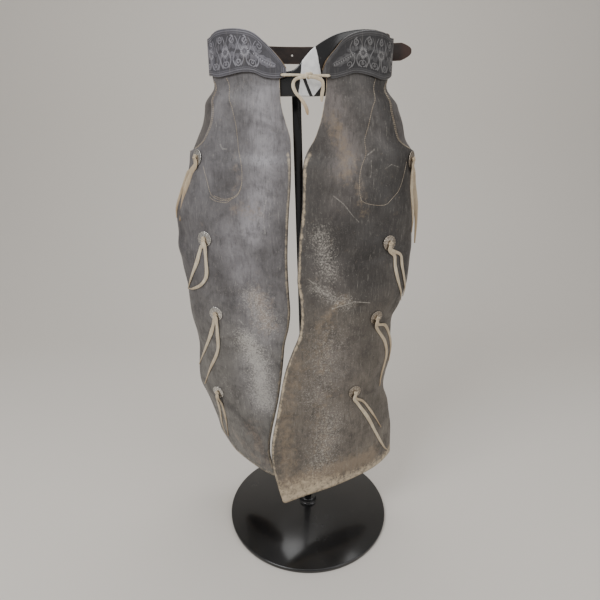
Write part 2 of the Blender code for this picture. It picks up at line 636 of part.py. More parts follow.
def make_belt(materials, parts, cutters):
    places = strap_line()
    end = places[-1]
    rows = []
    for place in places:
        to_end = (end - place).length
        share = 1.0 if to_end > STRAP_POINT else 0.10 + 0.90 * math.sqrt(to_end / STRAP_POINT)
        rows.append([place + Vector((0.0, 0.0, STRAP_WIDTH / 2 * share * step))
                     for step in (-1.0, 1.0)])
    strap = sheet("belt_strap", rows, False, STRAP_LEATHER, 1, materials["strap_leather"], parts)
    holes = []
    for number, back in enumerate(STRAP_HOLES):
        middle, heading, outward = strap_station(places, back)
        holes.append(rod_cutter("strap_hole_%d" % number, middle, outward, STRAP_HOLE_RADIUS,
                                0.020, cutters))
    middle, heading, outward = strap_station(places, BUCKLE_PLACE)
    slot = rod_cutter("tongue_slot", Vector(), outward, 1.0, 0.020, cutters)
    reach = Matrix((heading, Vector((0.0, 0.0, 1.0)), outward)).transposed().to_4x4()
    size = Matrix.Diagonal((TONGUE_SLOT[0], TONGUE_SLOT[1], 1.0, 1.0))
    slot.data.transform(Matrix.Translation(middle) @ reach @ size @ reach.inverted())
    join_solids(strap, holes + [slot], "DIFFERENCE", cutters)

    # The frame passes outside the strap at its toe and inside it at its heel
    centre = middle + outward * STRAP_LEATHER / 2
    lift = STRAP_LEATHER / 2 + BUCKLE_SLIT + BUCKLE_BAR
    half = STRAP_WIDTH / 2 + BUCKLE_SLIT + BUCKLE_BAR

    def buckle_place(along, out, up):
        return centre + heading * along + outward * out + Vector((0.0, 0.0, up))

    length = BUCKLE_HALF_LENGTH
    corner = 0.004
    loop = [(-length, lift, -half + corner), (-length, lift, half - corner),
            (-length + corner / 3, lift * 0.9, half - corner / 3), (-length + corner, lift * 0.7, half),
            (length - corner, -lift * 0.7, half), (length - corner / 3, -lift * 0.9, half - corner / 3),
            (length, -lift, half - corner), (length, -lift, -half + corner),
            (length - corner / 3, -lift * 0.9, -half + corner / 3), (length - corner, -lift * 0.7, -half),
            (-length + corner, lift * 0.7, -half), (-length + corner / 3, lift * 0.9, -half + corner / 3)]
    as_mesh(tube("buckle_frame", [buckle_place(*point) for point in loop], BUCKLE_BAR, True,
                 materials["buckle_metal"], parts))
    heel = length - BUCKLE_BAR - SEAM_GAP - TONGUE_RADIUS
    rest = lift + BUCKLE_BAR + SEAM_GAP + TONGUE_RADIUS
    pin = smooth_path([(heel, -lift, 0), (0.006, -lift * 0.92, 0), (0.0005, -0.0004, 0),
                       (-0.005, lift * 0.85, 0), (-length, rest, 0), (-length - 0.005, rest, 0)], 14)
    as_mesh(tube("buckle_tongue", [buckle_place(*point) for point in pin], TONGUE_RADIUS, False,
                 materials["buckle_metal"], parts))

    # The short strap runs inside the left yoke and ends under the buckle's heel
    rows = []
    for angle in np.linspace(BILLET_START, BILLET_END, 14):
        foot = waist_space("left", angle, STRAP_INNER, STRAP_MIDDLE)
        rows.append([foot + Vector((0.0, 0.0, STRAP_WIDTH / 2 * step)) for step in (-1.0, 1.0)])
    sheet("buckle_strap", rows, True, STRAP_LEATHER, 1, materials["strap_leather"], parts)


def make_lace(materials, parts, cutters):
    knot_at = Vector(LACE_KNOT)
    pieces = []
    for side in ("right", "left"):
        angle, height = LACE_HOLES[side]
        behind = waist_space(side, angle, LACE_BEHIND[side], height)
        through = waist_space(side, angle, YOKE_INNER + YOKE_LEATHER + 0.0006, height)
        out = waist_space(side, angle, YOKE_INNER + YOKE_LEATHER + LACE_RADIUS + 0.0010, height)
        toward = (knot_at - out).normalized()
        run = smooth_path([behind, through, out + toward * 0.0022, out + toward * 0.010,
                           knot_at], 13)
        pieces.append(as_mesh(tube("lace_run_" + side, run, LACE_RADIUS, False, None, parts)))
        normal = (through - behind).normalized()
        turn = normal.to_track_quat("Z", "Y").to_matrix().to_4x4()
        pieces.append(lump("lace_stop_" + side, behind, turn, (0.0032, 0.0032, 0.0012), parts, None))
    for number, end in enumerate(LACE_ENDS):
        path = smooth_path([knot_at] + [Vector(place) for place in end], 15)
        rows = ribbon_rows(path, Vector((0.0, -1.0, 0.0)), 0.0052, 0.0030, 4)
        piece = sheet("lace_end_%d" % number, rows, False, STRAND_LEATHER, 1, None, parts)
        pieces.append(piece)
    lace = lump("front_lace", knot_at, Matrix.Identity(4), (0.0055, 0.0040, 0.0046), parts,
                materials["thong_leather"])
    join_solids(lace, pieces, "UNION", cutters)


def ribbon_rows(path, face, width, tip_width, taper):
    # Two points across a flat thong at each place of its path; face is its outer side
    rows = []
    for k, place in enumerate(path):
        along = path[min(k + 1, len(path) - 1)] - path[max(k - 1, 0)]
        normal = face if isinstance(face, Vector) else face[k]
        across = along.cross(normal).normalized()
        left = len(path) - 1 - k
        half = (width if left >= taper else tip_width + (width - tip_width) * left / taper) / 2
        rows.append([place - across * half, place + across * half])
    return rows


def make_ties(materials, parts, cutters):
    graph = bpy.context.evaluated_depsgraph_get()
    for side in ("right", "left"):
        table = CONCHOS[side]
        leather = BVHTree.FromObject(bpy.data.objects["leg_front_" + side], graph)
        for number, (level, inset) in enumerate(table, 1):
            seat, normal = concho_seat(side, level, inset, leather)
            turn = normal.to_track_quat("Z", "Y").to_matrix().to_4x4()
            make_concho("concho_%s_%d" % (side, number), Matrix.Translation(seat) @ turn,
                        materials["concho_metal"], parts)
            middle = seat + normal * (CONCHO_HEIGHT + SEAM_GAP + KNOT_SIZE[1])
            strands = []
            pair = STRANDS[side][number - 1]
            outward = normal.cross(Vector((0.0, 0.0, -1.0))).normalized() * (-1.0 if side == "right" else 1.0)
            for letter, strand, other in zip("ab", pair, pair[::-1]):
                beside = outward * (STRAND_SPREAD if strand[0][1] < other[0][1] else -STRAND_SPREAD)
                start = middle + normal * (STRAND_STAGGER if letter == "b" else 0.0)
                strands.append(make_strand("strand_%s_%d%s" % (side, number, letter), side, strand,
                                           start, seat, normal, beside, parts))
            size = (KNOT_SIZE[0], KNOT_SIZE[2], KNOT_SIZE[1])
            knot = lump("tie_%s_%d" % (side, number), middle, turn, size, parts,
                        materials["thong_leather"])
            join_solids(knot, strands, "UNION", cutters)


def make_strand(name, side, strand, knot, seat, normal, beside, parts):
    # A strand leaves the knot downwards, clears the concho's rim and lies along the leather
    down = Vector((0.0, 0.0, -1.0))
    spots = [knot + beside * 0.4, knot + beside * 0.7 + down * STRAND_DROP / 2 - normal * 0.0006,
             seat + normal * (CONCHO_HEIGHT + 0.0014) + beside + down * STRAND_DROP]
    faces = [normal, normal, normal]
    for level, inset in strand:
        spot, face = front_place(side, level, inset, STRAND_LIFT)
        spots.append(spot)
        faces.append(face)
    count = 2 * len(spots) + 1
    path = smooth_path(spots, count)
    turned_faces = []
    for share in np.linspace(0.0, len(spots) - 1.0, count):
        k = min(int(share), len(spots) - 2)
        turned_faces.append(faces[k].lerp(faces[k + 1], share - k).normalized())
    rows = ribbon_rows(path, turned_faces, STRAND_WIDTH, STRAND_TIP_WIDTH, 4)
    return sheet(name, rows, False, STRAND_LEATHER, 1, None, parts)


def concho_seat(side, level, inset, leather):
    # Where a flat concho touches the curved front: lifted until no leather lies above it
    spot, outward = front_place(side, level, inset, 0.0)
    above, face = front_place(side, level + 0.010, inset, 0.0)
    ahead, face = front_place(side, level, inset - 0.010, 0.0)
    normal = (above - spot).cross(ahead - spot).normalized()
    if normal.dot(outward) < 0.0:
        normal = -normal
    across = normal.cross(Vector((0.0, 0.0, 1.0))).normalized()
    up = across.cross(normal)
    highest = -CONCHO_PROBE
    for reach in np.linspace(0.0, CONCHO_RADIUS, 8):
        for angle in np.linspace(0.0, 2 * math.pi, 29)[:-1]:
            start = spot + across * reach * math.cos(angle) + up * reach * math.sin(angle)
            touched = leather.ray_cast(start + normal * CONCHO_PROBE, -normal, 2 * CONCHO_PROBE)[0]
            if touched is not None:
                highest = max(highest, (touched - spot).dot(normal))
    return spot + normal * (highest + CONCHO_SEAT), normal


def make_concho(name, matrix, material, parts):
    radius, height = CONCHO_RADIUS, CONCHO_HEIGHT
    profile = [(0.0, height), (0.45 * radius, 0.92 * height), (0.72 * radius, 0.62 * height),
               (0.80 * radius, 0.50 * height), (0.95 * radius, 0.55 * height), (radius, 0.32 * height),
               (radius, 0.0), (0.0, 0.0)]
    mesh = bpy.data.meshes.new(name)
    mesh.from_pydata([(x, 0.0, z) for x, z in profile], [(k, k + 1) for k in range(len(profile) - 1)], [])
    item = add_object(name, mesh, material, parts)
    turned_by = item.modifiers.new("turn", "SCREW")
    turned_by.steps = 14
    turned_by.render_steps = 14
    turned_by.use_merge_vertices = True
    turned_by.merge_threshold = 0.0001
    item.matrix_world = matrix


def make_stand(materials, parts):
    paint = materials["stand_paint"]
    # The disc is turned from half of its section
    profile = [(0.0, BOSS_TOP), (BOSS_RADIUS - 0.002, BOSS_TOP), (BOSS_RADIUS, BOSS_TOP - 0.002),
               (BOSS_RADIUS, BASE_DOME)]
    for share in np.linspace(0.2, 1.0, 5):
        reach = BOSS_RADIUS + (BASE_RADIUS - 0.003 - BOSS_RADIUS) * share
        profile.append((reach, BASE_RIM + (BASE_DOME - BASE_RIM) * (1.0 - share ** 1.8)))
    profile += [(BASE_RADIUS, BASE_RIM - 0.003), (BASE_RADIUS, 0.002), (BASE_RADIUS - 0.002, 0.0), (0.0, 0.0)]
    mesh = bpy.data.meshes.new("stand_base")
    mesh.from_pydata([(x, 0.0, z) for x, z in profile], [(k, k + 1) for k in range(len(profile) - 1)], [])
    base = add_object("stand_base", mesh, paint, parts)
    turned_by = base.modifiers.new("turn", "SCREW")
    turned_by.steps = 40
    turned_by.render_steps = 40
    turned_by.use_merge_vertices = True
    turned_by.merge_threshold = 0.0001

    # The post leans, with both ends cut level
    work = bmesh.new()
    bmesh.ops.create_cube(work, size=1.0)
    low, high = BOSS_TOP + BUTT_GAP, CROSSBAR_LOW - BUTT_GAP
    for vertex in work.verts:
        share = vertex.co.z + 0.5
        height = low + (high - low) * share
        vertex.co = Vector((vertex.co.x * POST_SIDE + POST_TOP_X * share, vertex.co.y * POST_SIDE, height))
    mesh = bpy.data.meshes.new("stand_post")
    work.to_mesh(mesh)
    work.free()
    post = add_object("stand_post", mesh, paint, parts)
    edge = post.modifiers.new("edge", "BEVEL")
    edge.width = 0.0012
    edge.segments = 1

    # The cross bar spans the inside of the hip form
    half = WAIST_HALF_WIDTH + FORM_OUTER - FORM_WALL - FORM_SEAT
    work = bmesh.new()
    bmesh.ops.create_cube(work, size=1.0, matrix=Matrix.Translation(
        (WAIST_X, 0.0, CROSSBAR_LOW + CROSSBAR_SIDE / 2))
        @ Matrix.Diagonal((2 * half, CROSSBAR_SIDE, CROSSBAR_SIDE, 1.0)))
    mesh = bpy.data.meshes.new("stand_crossbar")
    work.to_mesh(mesh)
    work.free()
    bar = add_object("stand_crossbar", mesh, paint, parts)
    edge = bar.modifiers.new("edge", "BEVEL")
    edge.width = 0.0012
    edge.segments = 1

    # The hip form is a closed band inside the waist
    work = bmesh.new()
    rings = []
    angles = np.linspace(-180.0, 180.0, 41)[:-1]
    for angle in angles:
        row = read_table(FORM_COLUMNS, FORM, angle)
        ring = []
        for grown, height in ((FORM_OUTER, row["low"]), (FORM_OUTER, row["high"]),
                              (FORM_OUTER - FORM_WALL, row["high"]), (FORM_OUTER - FORM_WALL, row["low"])):
            ring.append(work.verts.new(waist_space("left", angle, grown, height)))
        rings.append(ring)
    for k, ring in enumerate(rings):
        after = rings[(k + 1) % len(rings)]
        for j in range(4):
            work.faces.new((ring[j], ring[(j + 1) % 4], after[(j + 1) % 4], after[j]))
    bmesh.ops.recalc_face_normals(work, faces=work.faces)
    mesh = bpy.data.meshes.new("stand_hip_form")
    work.to_mesh(mesh)
    work.free()
    form = add_object("stand_hip_form", mesh, paint, parts)
    edge = form.modifiers.new("edge", "BEVEL")
    edge.width = 0.002
    edge.segments = 1
    edge.limit_method = "ANGLE"


def main():
    for item in list(bpy.data.objects):
        bpy.data.objects.remove(item)
    parts = new_collection(COLLECTION)
    cutters = new_collection(CUTTERS)
    materials = make_materials()
    make_legs(materials, parts)
    make_yokes(materials, parts, cutters)
    make_belt(materials, parts, cutters)
    make_lace(materials, parts, cutters)
    make_ties(materials, parts, cutters)
    make_stand(materials, parts)


main()
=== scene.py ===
# Leather chaps on a round display stand: the looks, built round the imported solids.
import math

import bmesh
import bpy
import numpy as np
from mathutils import Matrix, Vector


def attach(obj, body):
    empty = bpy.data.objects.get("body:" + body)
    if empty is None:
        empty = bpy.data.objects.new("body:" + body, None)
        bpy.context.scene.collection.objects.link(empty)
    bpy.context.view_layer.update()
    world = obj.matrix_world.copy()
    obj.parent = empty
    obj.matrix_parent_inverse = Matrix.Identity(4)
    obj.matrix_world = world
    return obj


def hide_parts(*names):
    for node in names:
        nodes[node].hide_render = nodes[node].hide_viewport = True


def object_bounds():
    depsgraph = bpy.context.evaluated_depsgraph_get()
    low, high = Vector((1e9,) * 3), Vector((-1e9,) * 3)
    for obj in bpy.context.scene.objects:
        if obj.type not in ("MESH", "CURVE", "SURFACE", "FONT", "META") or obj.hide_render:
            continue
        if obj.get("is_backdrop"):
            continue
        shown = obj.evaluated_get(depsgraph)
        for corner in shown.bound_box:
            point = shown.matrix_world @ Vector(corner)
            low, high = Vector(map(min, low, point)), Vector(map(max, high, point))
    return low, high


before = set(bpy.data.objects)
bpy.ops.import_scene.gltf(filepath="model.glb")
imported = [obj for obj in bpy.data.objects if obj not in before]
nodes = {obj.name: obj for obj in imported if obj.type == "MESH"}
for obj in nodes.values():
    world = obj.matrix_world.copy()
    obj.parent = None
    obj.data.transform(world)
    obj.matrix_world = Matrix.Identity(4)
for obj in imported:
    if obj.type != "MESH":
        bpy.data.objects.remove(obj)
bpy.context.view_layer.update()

scene = bpy.context.scene


# Small maths

def smoothStep(value):
    value = np.clip(value, 0.0, 1.0)
    return value * value * (3.0 - 2.0 * value)


def inMetres(table):
    # a nested table of millimetres, in metres
    if isinstance(table, dict):
        return {key: inMetres(part) for key, part in table.items()}
    return tuple(inMetres(part) for part in table) if isinstance(table, tuple) else table / 1000.0


def readTable(columns, rows, level):
    # a smooth curve through the rows, read at one level
    table = np.array(sorted(rows), float)
    heights = table[:, 0]
    level = min(max(level, heights[0]), heights[-1])
    low = min(max(int(np.searchsorted(heights, level)) - 1, 0), len(heights) - 2)
    step = heights[low + 1] - heights[low]
    share = (level - heights[low]) / step
    before = table[max(low - 1, 0)]
    after = table[min(low + 2, len(heights) - 1)]
    slopeLow = (table[low + 1] - before) / max(heights[low + 1] - before[0], 1e-9)
    slopeHigh = (after - table[low]) / max(after[0] - heights[low], 1e-9)
    square, cube = share * share, share ** 3
    row = (2 * cube - 3 * square + 1) * table[low] + (cube - 2 * square + share) * step * slopeLow
    row = row + (3 * square - 2 * cube) * table[low + 1] + (cube - square) * step * slopeHigh
    return dict(zip(columns, row))


def bezier(start, lead, pull, end, count):
    t = np.linspace(0.0, 1.0, count)[:, None]
    return ((1 - t) ** 3) * start + 3 * t * (1 - t) ** 2 * lead + 3 * t * t * (1 - t) * pull + t ** 3 * end


def turned(degrees):
    return np.array((math.cos(math.radians(degrees)), math.sin(math.radians(degrees))))


def runLengths(line):
    return np.concatenate(([0.0], np.cumsum(np.linalg.norm(np.diff(line, axis=0), axis=1))))


def atLengths(line, stations):
    # points at given lengths along a flat line, run on straight past its end
    lengths = runLengths(line)
    points = np.column_stack([np.interp(stations, lengths, line[:, axis]) for axis in (0, 1)])
    heading = (line[-1] - line[-2]) / np.linalg.norm(line[-1] - line[-2])
    beyond = np.maximum(np.asarray(stations) - lengths[-1], 0.0)
    return points + beyond[:, None] * heading


def evenly(line, count):
    return atLengths(line, np.linspace(0.0, runLengths(line)[-1], count))


def movedInward(line, distance):
    heading = np.gradient(line, axis=0)
    heading = heading / np.linalg.norm(heading, axis=1)[:, None]
    return line + distance * np.column_stack((-heading[:, 1], heading[:, 0]))


def nearestOnRun(first, second, run, byLength=True):
    # the distance to a run of straight pieces, and how far along it the nearest place is
    nearest = np.full(first.shape, 9.0)
    along = np.zeros_like(first)
    steps = [math.dist(a, b) for a, b in zip(run, run[1:])]
    parts = steps if byLength else [1.0] * len(steps)
    sofar = 0.0
    for a, b, step, part in zip(run, run[1:], steps, parts):
        dx, dy = b[0] - a[0], b[1] - a[1]
        share = np.clip(((first - a[0]) * dx + (second - a[1]) * dy) / step ** 2, 0.0, 1.0)
        distance = np.hypot(first - a[0] - share * dx, second - a[1] - share * dy)
        closer = distance < nearest
        nearest = np.where(closer, distance, nearest)
        along = np.where(closer, (sofar + share * part) / sum(parts), along)
        sofar += part
    return nearest, along


def smoothPath(points, count):
    # a curve through the points, evenly read
    points = np.array(points, float)
    padded = np.vstack((2 * points[0] - points[1], points, 2 * points[-1] - points[-2]))
    places = []
    for share in np.linspace(0.0, len(points) - 1.0, count):
        k = min(int(share), len(points) - 2)
        t = share - k
        a, b, c, d = padded[k:k + 4]
        places.append(0.5 * (2 * b + (c - a) * t + (2 * a - 5 * b + 4 * c - d) * t * t
                             + (3 * b - a - 3 * c + d) * t ** 3))
    return np.array(places)


# The legs' form, in the same sizes as the solids

leg = {
    "leather": 0.0025,
    "tuckGap": 0.0014,
    "waistX": -0.0215,
    "waistHalfWidth": 0.1795,
    "waistHalfDepth": 0.100,
    "hemLevel": 0.160,
    "hemBlendLevel": 0.450,
    "topLevel": 1.118,
    "waistFull": 1.094,
    "waistNone": 1.055,
    "foldRadius": 0.007,
    "wrap": 0.015,
    "foldTop": 0.935,
    "crotch": 0.965,
    "leave": 0.012,
    "seamGap": 0.0005,
    "backRise": 0.915,
    "backTopLength": 0.035,
    "wingLow": 0.966,         # the slash pocket's edge sweeps from here
    "wingHigh": 0.996,        # up to here
    "hems": {"right": (0.160, 0.190), "left": (0.150, 0.170)},
}
# lead, roll and rear are degrees, the rest is in millimetres
legColumns = ("level", "foldX", "foldY", "edgeX", "edgeY", "lead", "roll", "rear", "belly")
legTables = {
    "right": (
        (1118, -61, -99, -204, 0, 2, 84, 80, 140),
        (1080, -60, -99, -225, 1, 2, 84, 80, 140),
        (1050, -58, -97, -227, 2, 2, 84, 78, 130),
        (1020, -50, -96, -234, 4, 2, 84, 74, 120),
        (990, -41, -95, -249, 7, 2, 82, 68, 105),
        (962, -40, -94, -262, 10, 3, 80, 62, 95),
        (940, -40, -93, -266, 10, 3, 78, 56, 85),
        (900, -41, -90, -279, 11, 4, 76, 55, 85),
        (860, -44, -87, -297, 11, 5, 74, 55, 85),
        (830, -46, -85, -304, 11, 6, 74, 55, 85),
        (790, -48, -83, -304, 12, 6, 74, 55, 82),
        (755, -49, -80, -308, 12, 6, 74, 55, 80),
        (728, -49, -80, -303, 12, 7, 74, 55, 80),
        (700, -48, -78, -300, 13, 7, 74, 55, 78),
        (660, -46, -76, -293, 13, 8, 74, 55, 76),
        (620, -44, -74, -291, 13, 8, 74, 55, 74),
        (580, -48, -72, -289, 14, 8, 74, 55, 72),
        (540, -57, -70, -282, 16, 8, 74, 55, 70),
        (500, -61, -68, -278, 22, 8, 74, 55, 68),
        (460, -65, -66, -282, 28, 9, 74, 56, 64),
        (420, -70, -65, -288, 37, 10, 72, 58, 60),
        (380, -76, -63, -288, 46, 12, 70, 60, 56),
        (340, -84, -62, -278, 56, 14, 68, 62, 52),
        (300, -92, -60, -269, 65, 17, 66, 64, 48),
        (260, -98, -59, -264, 77, 20, 64, 66, 45),
        (220, -98, -58, -260, 90, 22, 63, 68, 42),
        (160, -83, -58, -252, 98, 25, 62, 70, 40),
    ),
    "left": (
        (1118, 27, -100, 161, 0, 2, 84, 80, 140),
        (1080, 27, -100, 180, 1, 2, 84, 80, 140),
        (1050, 23, -100, 189, 2, 2, 84, 78, 130),
        (1020, 17, -100, 200, 4, 2, 84, 72, 120),
        (990, 6, -100, 210, 7, 2, 82, 64, 105),
        (962, -10, -100, 229, 10, 3, 80, 56, 95),
        (940, -16, -100, 228, 10, 3, 78, 50, 85),
        (900, -17, -101, 229, 11, 4, 76, 50, 85),
        (860, -18, -102, 234, 11, 5, 74, 50, 85),
        (830, -20, -102, 237, 11, 6, 74, 50, 85),
        (790, -24, -103, 237, 12, 7, 74, 48, 82),
        (755, -26, -104, 240, 12, 8, 74, 48, 80),
        (728, -27, -106, 238, 12, 9, 74, 46, 80),
        (700, -28, -107, 236, 12, 10, 74, 45, 78),
        (660, -22, -110, 233, 12, 11, 74, 44, 76),
        (620, -20, -112, 222, 12, 12, 74, 43, 74),
        (580, -25, -115, 205, 12, 13, 74, 42, 72),
        (540, -40, -117, 205, 12, 14, 74, 41, 70),
        (500, -54, -120, 207, 12, 15, 74, 40, 68),
        (460, -63, -123, 206, 13, 16, 72, 39, 64),
        (420, -70, -126, 199, 14, 17, 70, 38, 60),
        (380, -77, -129, 196, 16, 18, 68, 38, 56),
        (340, -85, -132, 209, 17, 19, 66, 38, 52),
        (300, -90, -135, 216, 18, 20, 64, 38, 48),
        (260, -88, -137, 222, 20, 21, 62, 38, 45),
        (220, -81, -139, 226, 22, 22, 60, 38, 42),
        (160, -65, -142, 229, 24, 23, 58, 38, 40),
    ),
}
legTables = {side: [(*inMetres(row[:5]), *row[5:8], inMetres(row[8])) for row in rows]
             for side, rows in legTables.items()}
insetColumns = ("level", "inset")
slash = inMetres(((1118, 18), (1100, 28), (1080, 46), (1054, 60), (1018, 63), (992, 60)))
tucks = inMetres({
    "right": ((1118, 60), (1050, 86), (954, 82), (786, 132), (610, 128), (390, 116), (160, 110)),
    "left": ((1118, 60), (1050, 86), (950, 78), (778, 128), (606, 126), (418, 152), (160, 140)),
})


def sideSign(side):
    return -1.0 if side == "right" else 1.0


def waistPoint(angle, grown=0.0):
    # 0 at the front, 90 at the side, 180 at the back
    across = (leg["waistHalfWidth"] + grown) * np.sin(np.radians(angle))
    return across, -(leg["waistHalfDepth"] + grown) * np.cos(np.radians(angle))


def waistSpace(side, angle, grown, height):
    across, along = waistPoint(angle, grown)
    return np.array((leg["waistX"] + sideSign(side) * across, along, height))


def legLines(side, level, count=160):
    # the front line from fold to outer edge, and the rear line from the same fold
    sign = sideSign(side)
    row = readTable(legColumns, legTables[side], level)
    fold = np.array((sign * row["foldX"], row["foldY"]))
    edge = np.array((sign * row["edgeX"], row["edgeY"]))
    reach = float(np.linalg.norm(edge - fold))
    opened = smoothStep((level - leg["foldTop"]) / (leg["crotch"] - leg["foldTop"]))
    radius = leg["foldRadius"] * (1.0 - 0.93 * opened)
    middle = fold + np.array((radius, 0.0))
    lead, roll, rear = row["lead"], row["roll"], row["rear"]
    frontTurn = [middle + radius * turned(angle) for angle in np.linspace(-180, lead - 90, 12)]
    rearTurn = [middle + radius * turned(angle) for angle in np.linspace(-180, rear - 270, 12)]
    front = bezier(frontTurn[-1], frontTurn[-1] + 0.42 * reach * turned(lead),
                   edge - 0.33 * reach * turned(roll), edge, 80)
    front = evenly(np.vstack((frontTurn[:-1], front)), count)
    length = runLengths(front)[-1]
    leave = atLengths(movedInward(front, leg["leather"] + leg["tuckGap"]), [length - leg["leave"]])[0]
    back = bezier(rearTurn[-1], rearTurn[-1] + 0.36 * reach * turned(rear),
                  leave + 1.15 * row["belly"] * turned(96), leave, 80)
    back = evenly(np.vstack((rearTurn[:-1], back)), count)
    share = smoothStep((level - leg["waistNone"]) / (leg["waistFull"] - leg["waistNone"]))
    if share > 0.0:
        offset = sign * leg["waistX"]
        start = math.degrees(math.asin((fold[0] - offset) / (leg["waistHalfWidth"] + leg["leather"])))
        across, along = waistPoint(np.linspace(start, 90.0, count), leg["leather"])
        front = (1 - share) * front + share * np.column_stack((across + offset, along))
        across, along = waistPoint(np.linspace(180.0 - start, 90.0, count), -leg["tuckGap"])
        back = (1 - share) * back + share * np.column_stack((across + offset, along))
    return front, back


def hemHeight(side, level, across, foldX, edgeX):
    low, high = leg["hems"][side]
    share = np.clip((across - foldX) / (edgeX - foldX), 0.0, 1.0)
    pull = np.clip((leg["hemBlendLevel"] - level) / (leg["hemBlendLevel"] - leg["hemLevel"]), 0.0, 1.0) ** 2
    return level + pull * (low + (high - low) * share - leg["hemLevel"])


def inSpace(side, level, line, front):
    height = hemHeight(side, level, line[:, 0], front[0][0], front[-1][0])
    return np.column_stack((sideSign(side) * line[:, 0], line[:, 1], height))


def slashInset(level):
    # zero below the wing, then a quarter sweep up to the pocket's edge
    if level <= leg["wingLow"]:
        return 0.0
    if level < leg["wingHigh"]:
        share = (level - leg["wingLow"]) / (leg["wingHigh"] - leg["wingLow"])
        reach = readTable(insetColumns, slash, leg["wingHigh"])["inset"]
        return reach * math.sqrt(1.0 - (1.0 - share) ** 2)
    return readTable(insetColumns, slash, level)["inset"]


# Creases and seams in millimetres, each placed by level and by distance inside the front's outer edge

creases = inMetres({
    # height in or out, half width, then the run
    "right": (
        (-2.4, 5, ((365, 87), (329, 101), (299, 124), (275, 150), (251, 183), (215, 227))),
        (1.3, 6, ((372, 101), (333, 116), (305, 139), (282, 165), (258, 197), (226, 236))),
        (-1.4, 4.5, ((350, 138), (311, 151), (278, 177), (248, 208), (221, 225))),
        (-1.6, 5, ((290, 80), (272, 91), (233, 113), (209, 138))),
        (1.2, 6, ((264, 68), (238, 92), (206, 108))),
        (1.6, 11, ((950, 232), (900, 246), (872, 258), (791, 272), (740, 262))),
        (-2.2, 10, ((845, 10), (800, 40), (762, 52), (740, 46))),
        (2, 12, ((790, 16), (762, 22), (745, 40), (735, 70))),
        (-1.2, 9, ((690, 30), (665, 90), (655, 150), (668, 210))),
        (1.1, 10, ((668, 40), (640, 100), (630, 170))),
        (-1.4, 8, ((515, 20), (530, 66), (542, 114), (539, 150), (520, 200))),
        (1.2, 9, ((548, 80), (556, 120), (552, 160))),
        (-1.3, 8, ((460, 15), (445, 60), (438, 110), (446, 160))),
        (1.2, 11, ((500, 150), (440, 165), (380, 190))),
        (-1, 7, ((1040, 100), (1000, 130), (960, 190), (950, 230))),
    ),
    "left": (
        (1.4, 5, ((640, 262), (650, 236), (655, 200), (654, 160), (646, 130))),
        (-1.7, 6, ((626, 270), (637, 240), (641, 200), (639, 160), (632, 120))),
        (1.4, 6, ((590, 255), (612, 240), (640, 220), (668, 200))),
        (-1.2, 7, ((575, 240), (598, 222), (630, 196))),
        (-1.4, 9, ((790, 30), (760, 90), (745, 150), (752, 210))),
        (1.2, 10, ((812, 60), (784, 120), (772, 180))),
        (-1.8, 8, ((690, 10), (660, 40), (625, 60), (590, 64))),
        (1.4, 8, ((640, 18), (600, 34), (560, 30))),
        (-1.3, 9, ((520, 20), (500, 80), (492, 140), (505, 210))),
        (1.2, 11, ((480, 60), (462, 130), (470, 200))),
        (-1.4, 10, ((430, 180), (360, 200), (290, 236), (230, 280))),
        (1.3, 12, ((400, 110), (330, 128), (260, 170), (200, 210))),
        (-1.2, 7, ((300, 60), (260, 80), (215, 116))),
        (1.1, 10, ((960, 200), (900, 220), (840, 230))),
        (-1.1, 8, ((1030, 120), (985, 150), (930, 210))),
    ),
    "back": (
        (-3, 11, ((700, 40), (680, 90), (675, 140), (690, 190))),
        (2.2, 11, ((674, 50), (650, 100), (648, 150))),
        (-2.8, 10, ((610, 30), (590, 80), (588, 130), (602, 180))),
        (2, 12, ((574, 60), (560, 110), (566, 160))),
        (-2.4, 11, ((520, 50), (504, 100), (512, 160))),
        (-2.6, 13, ((480, 110), (400, 120), (300, 112), (200, 120))),
        (2.6, 15, ((460, 70), (380, 78), (280, 70), (180, 78))),
        (-2.2, 12, ((900, 80), (860, 110), (800, 120), (750, 106))),
        (2, 13, ((880, 150), (820, 160), (760, 150))),
    ),
})


seams = inMetres({
    "right": {"pocket": ((1100, 78), (1086, 86), (1073, 97), (1058, 109), (1028, 122),
                         (998, 139), (968, 156), (935, 171),
                         (902, 178), (884, 177), (875, 170), (869, 150), (875, 126),
                         (887, 111), (914, 93), (935, 80)),
              "below": ((875, 117), (869, 128), (866, 143), (866, 158), (875, 168))},
    "left": {"pocket": ((1103, 72), (1086, 80), (1072, 92), (1057, 107), (1043, 117),
                        (1007, 138), (971, 159), (932, 174),
                        (893, 176), (872, 173), (863, 156), (860, 121), (872, 101),
                        (890, 78), (914, 66), (944, 60))},
})
for side in seams:
    creases[side] += tuple((-0.0006, 0.0030, run) for run in seams[side].values())


def creaseField(levels, insets, table):
    # the sum of soft troughs and ridges over a panel
    field = np.zeros_like(levels)
    for height, width, run in table:
        nearest, along = nearestOnRun(levels, insets, run)
        taper = np.sin(np.pi * np.clip(along, 0.0, 1.0)) ** 0.6
        field += height * taper * np.exp(-(nearest / (width * (0.7 + 0.5 * along))) ** 2)
    return field


def billow(levels, insets, seed):
    # a low unevenness that no crease names
    field = np.zeros_like(levels)
    for k in range(1, 6):
        turn = seed * 1.7 + k * 2.4
        pitch = 0.075 + 0.021 * k
        field += np.sin((levels * math.cos(turn) + insets * math.sin(turn)) * 2 * math.pi / pitch + turn * 3.1) / k
    return 0.0006 * field


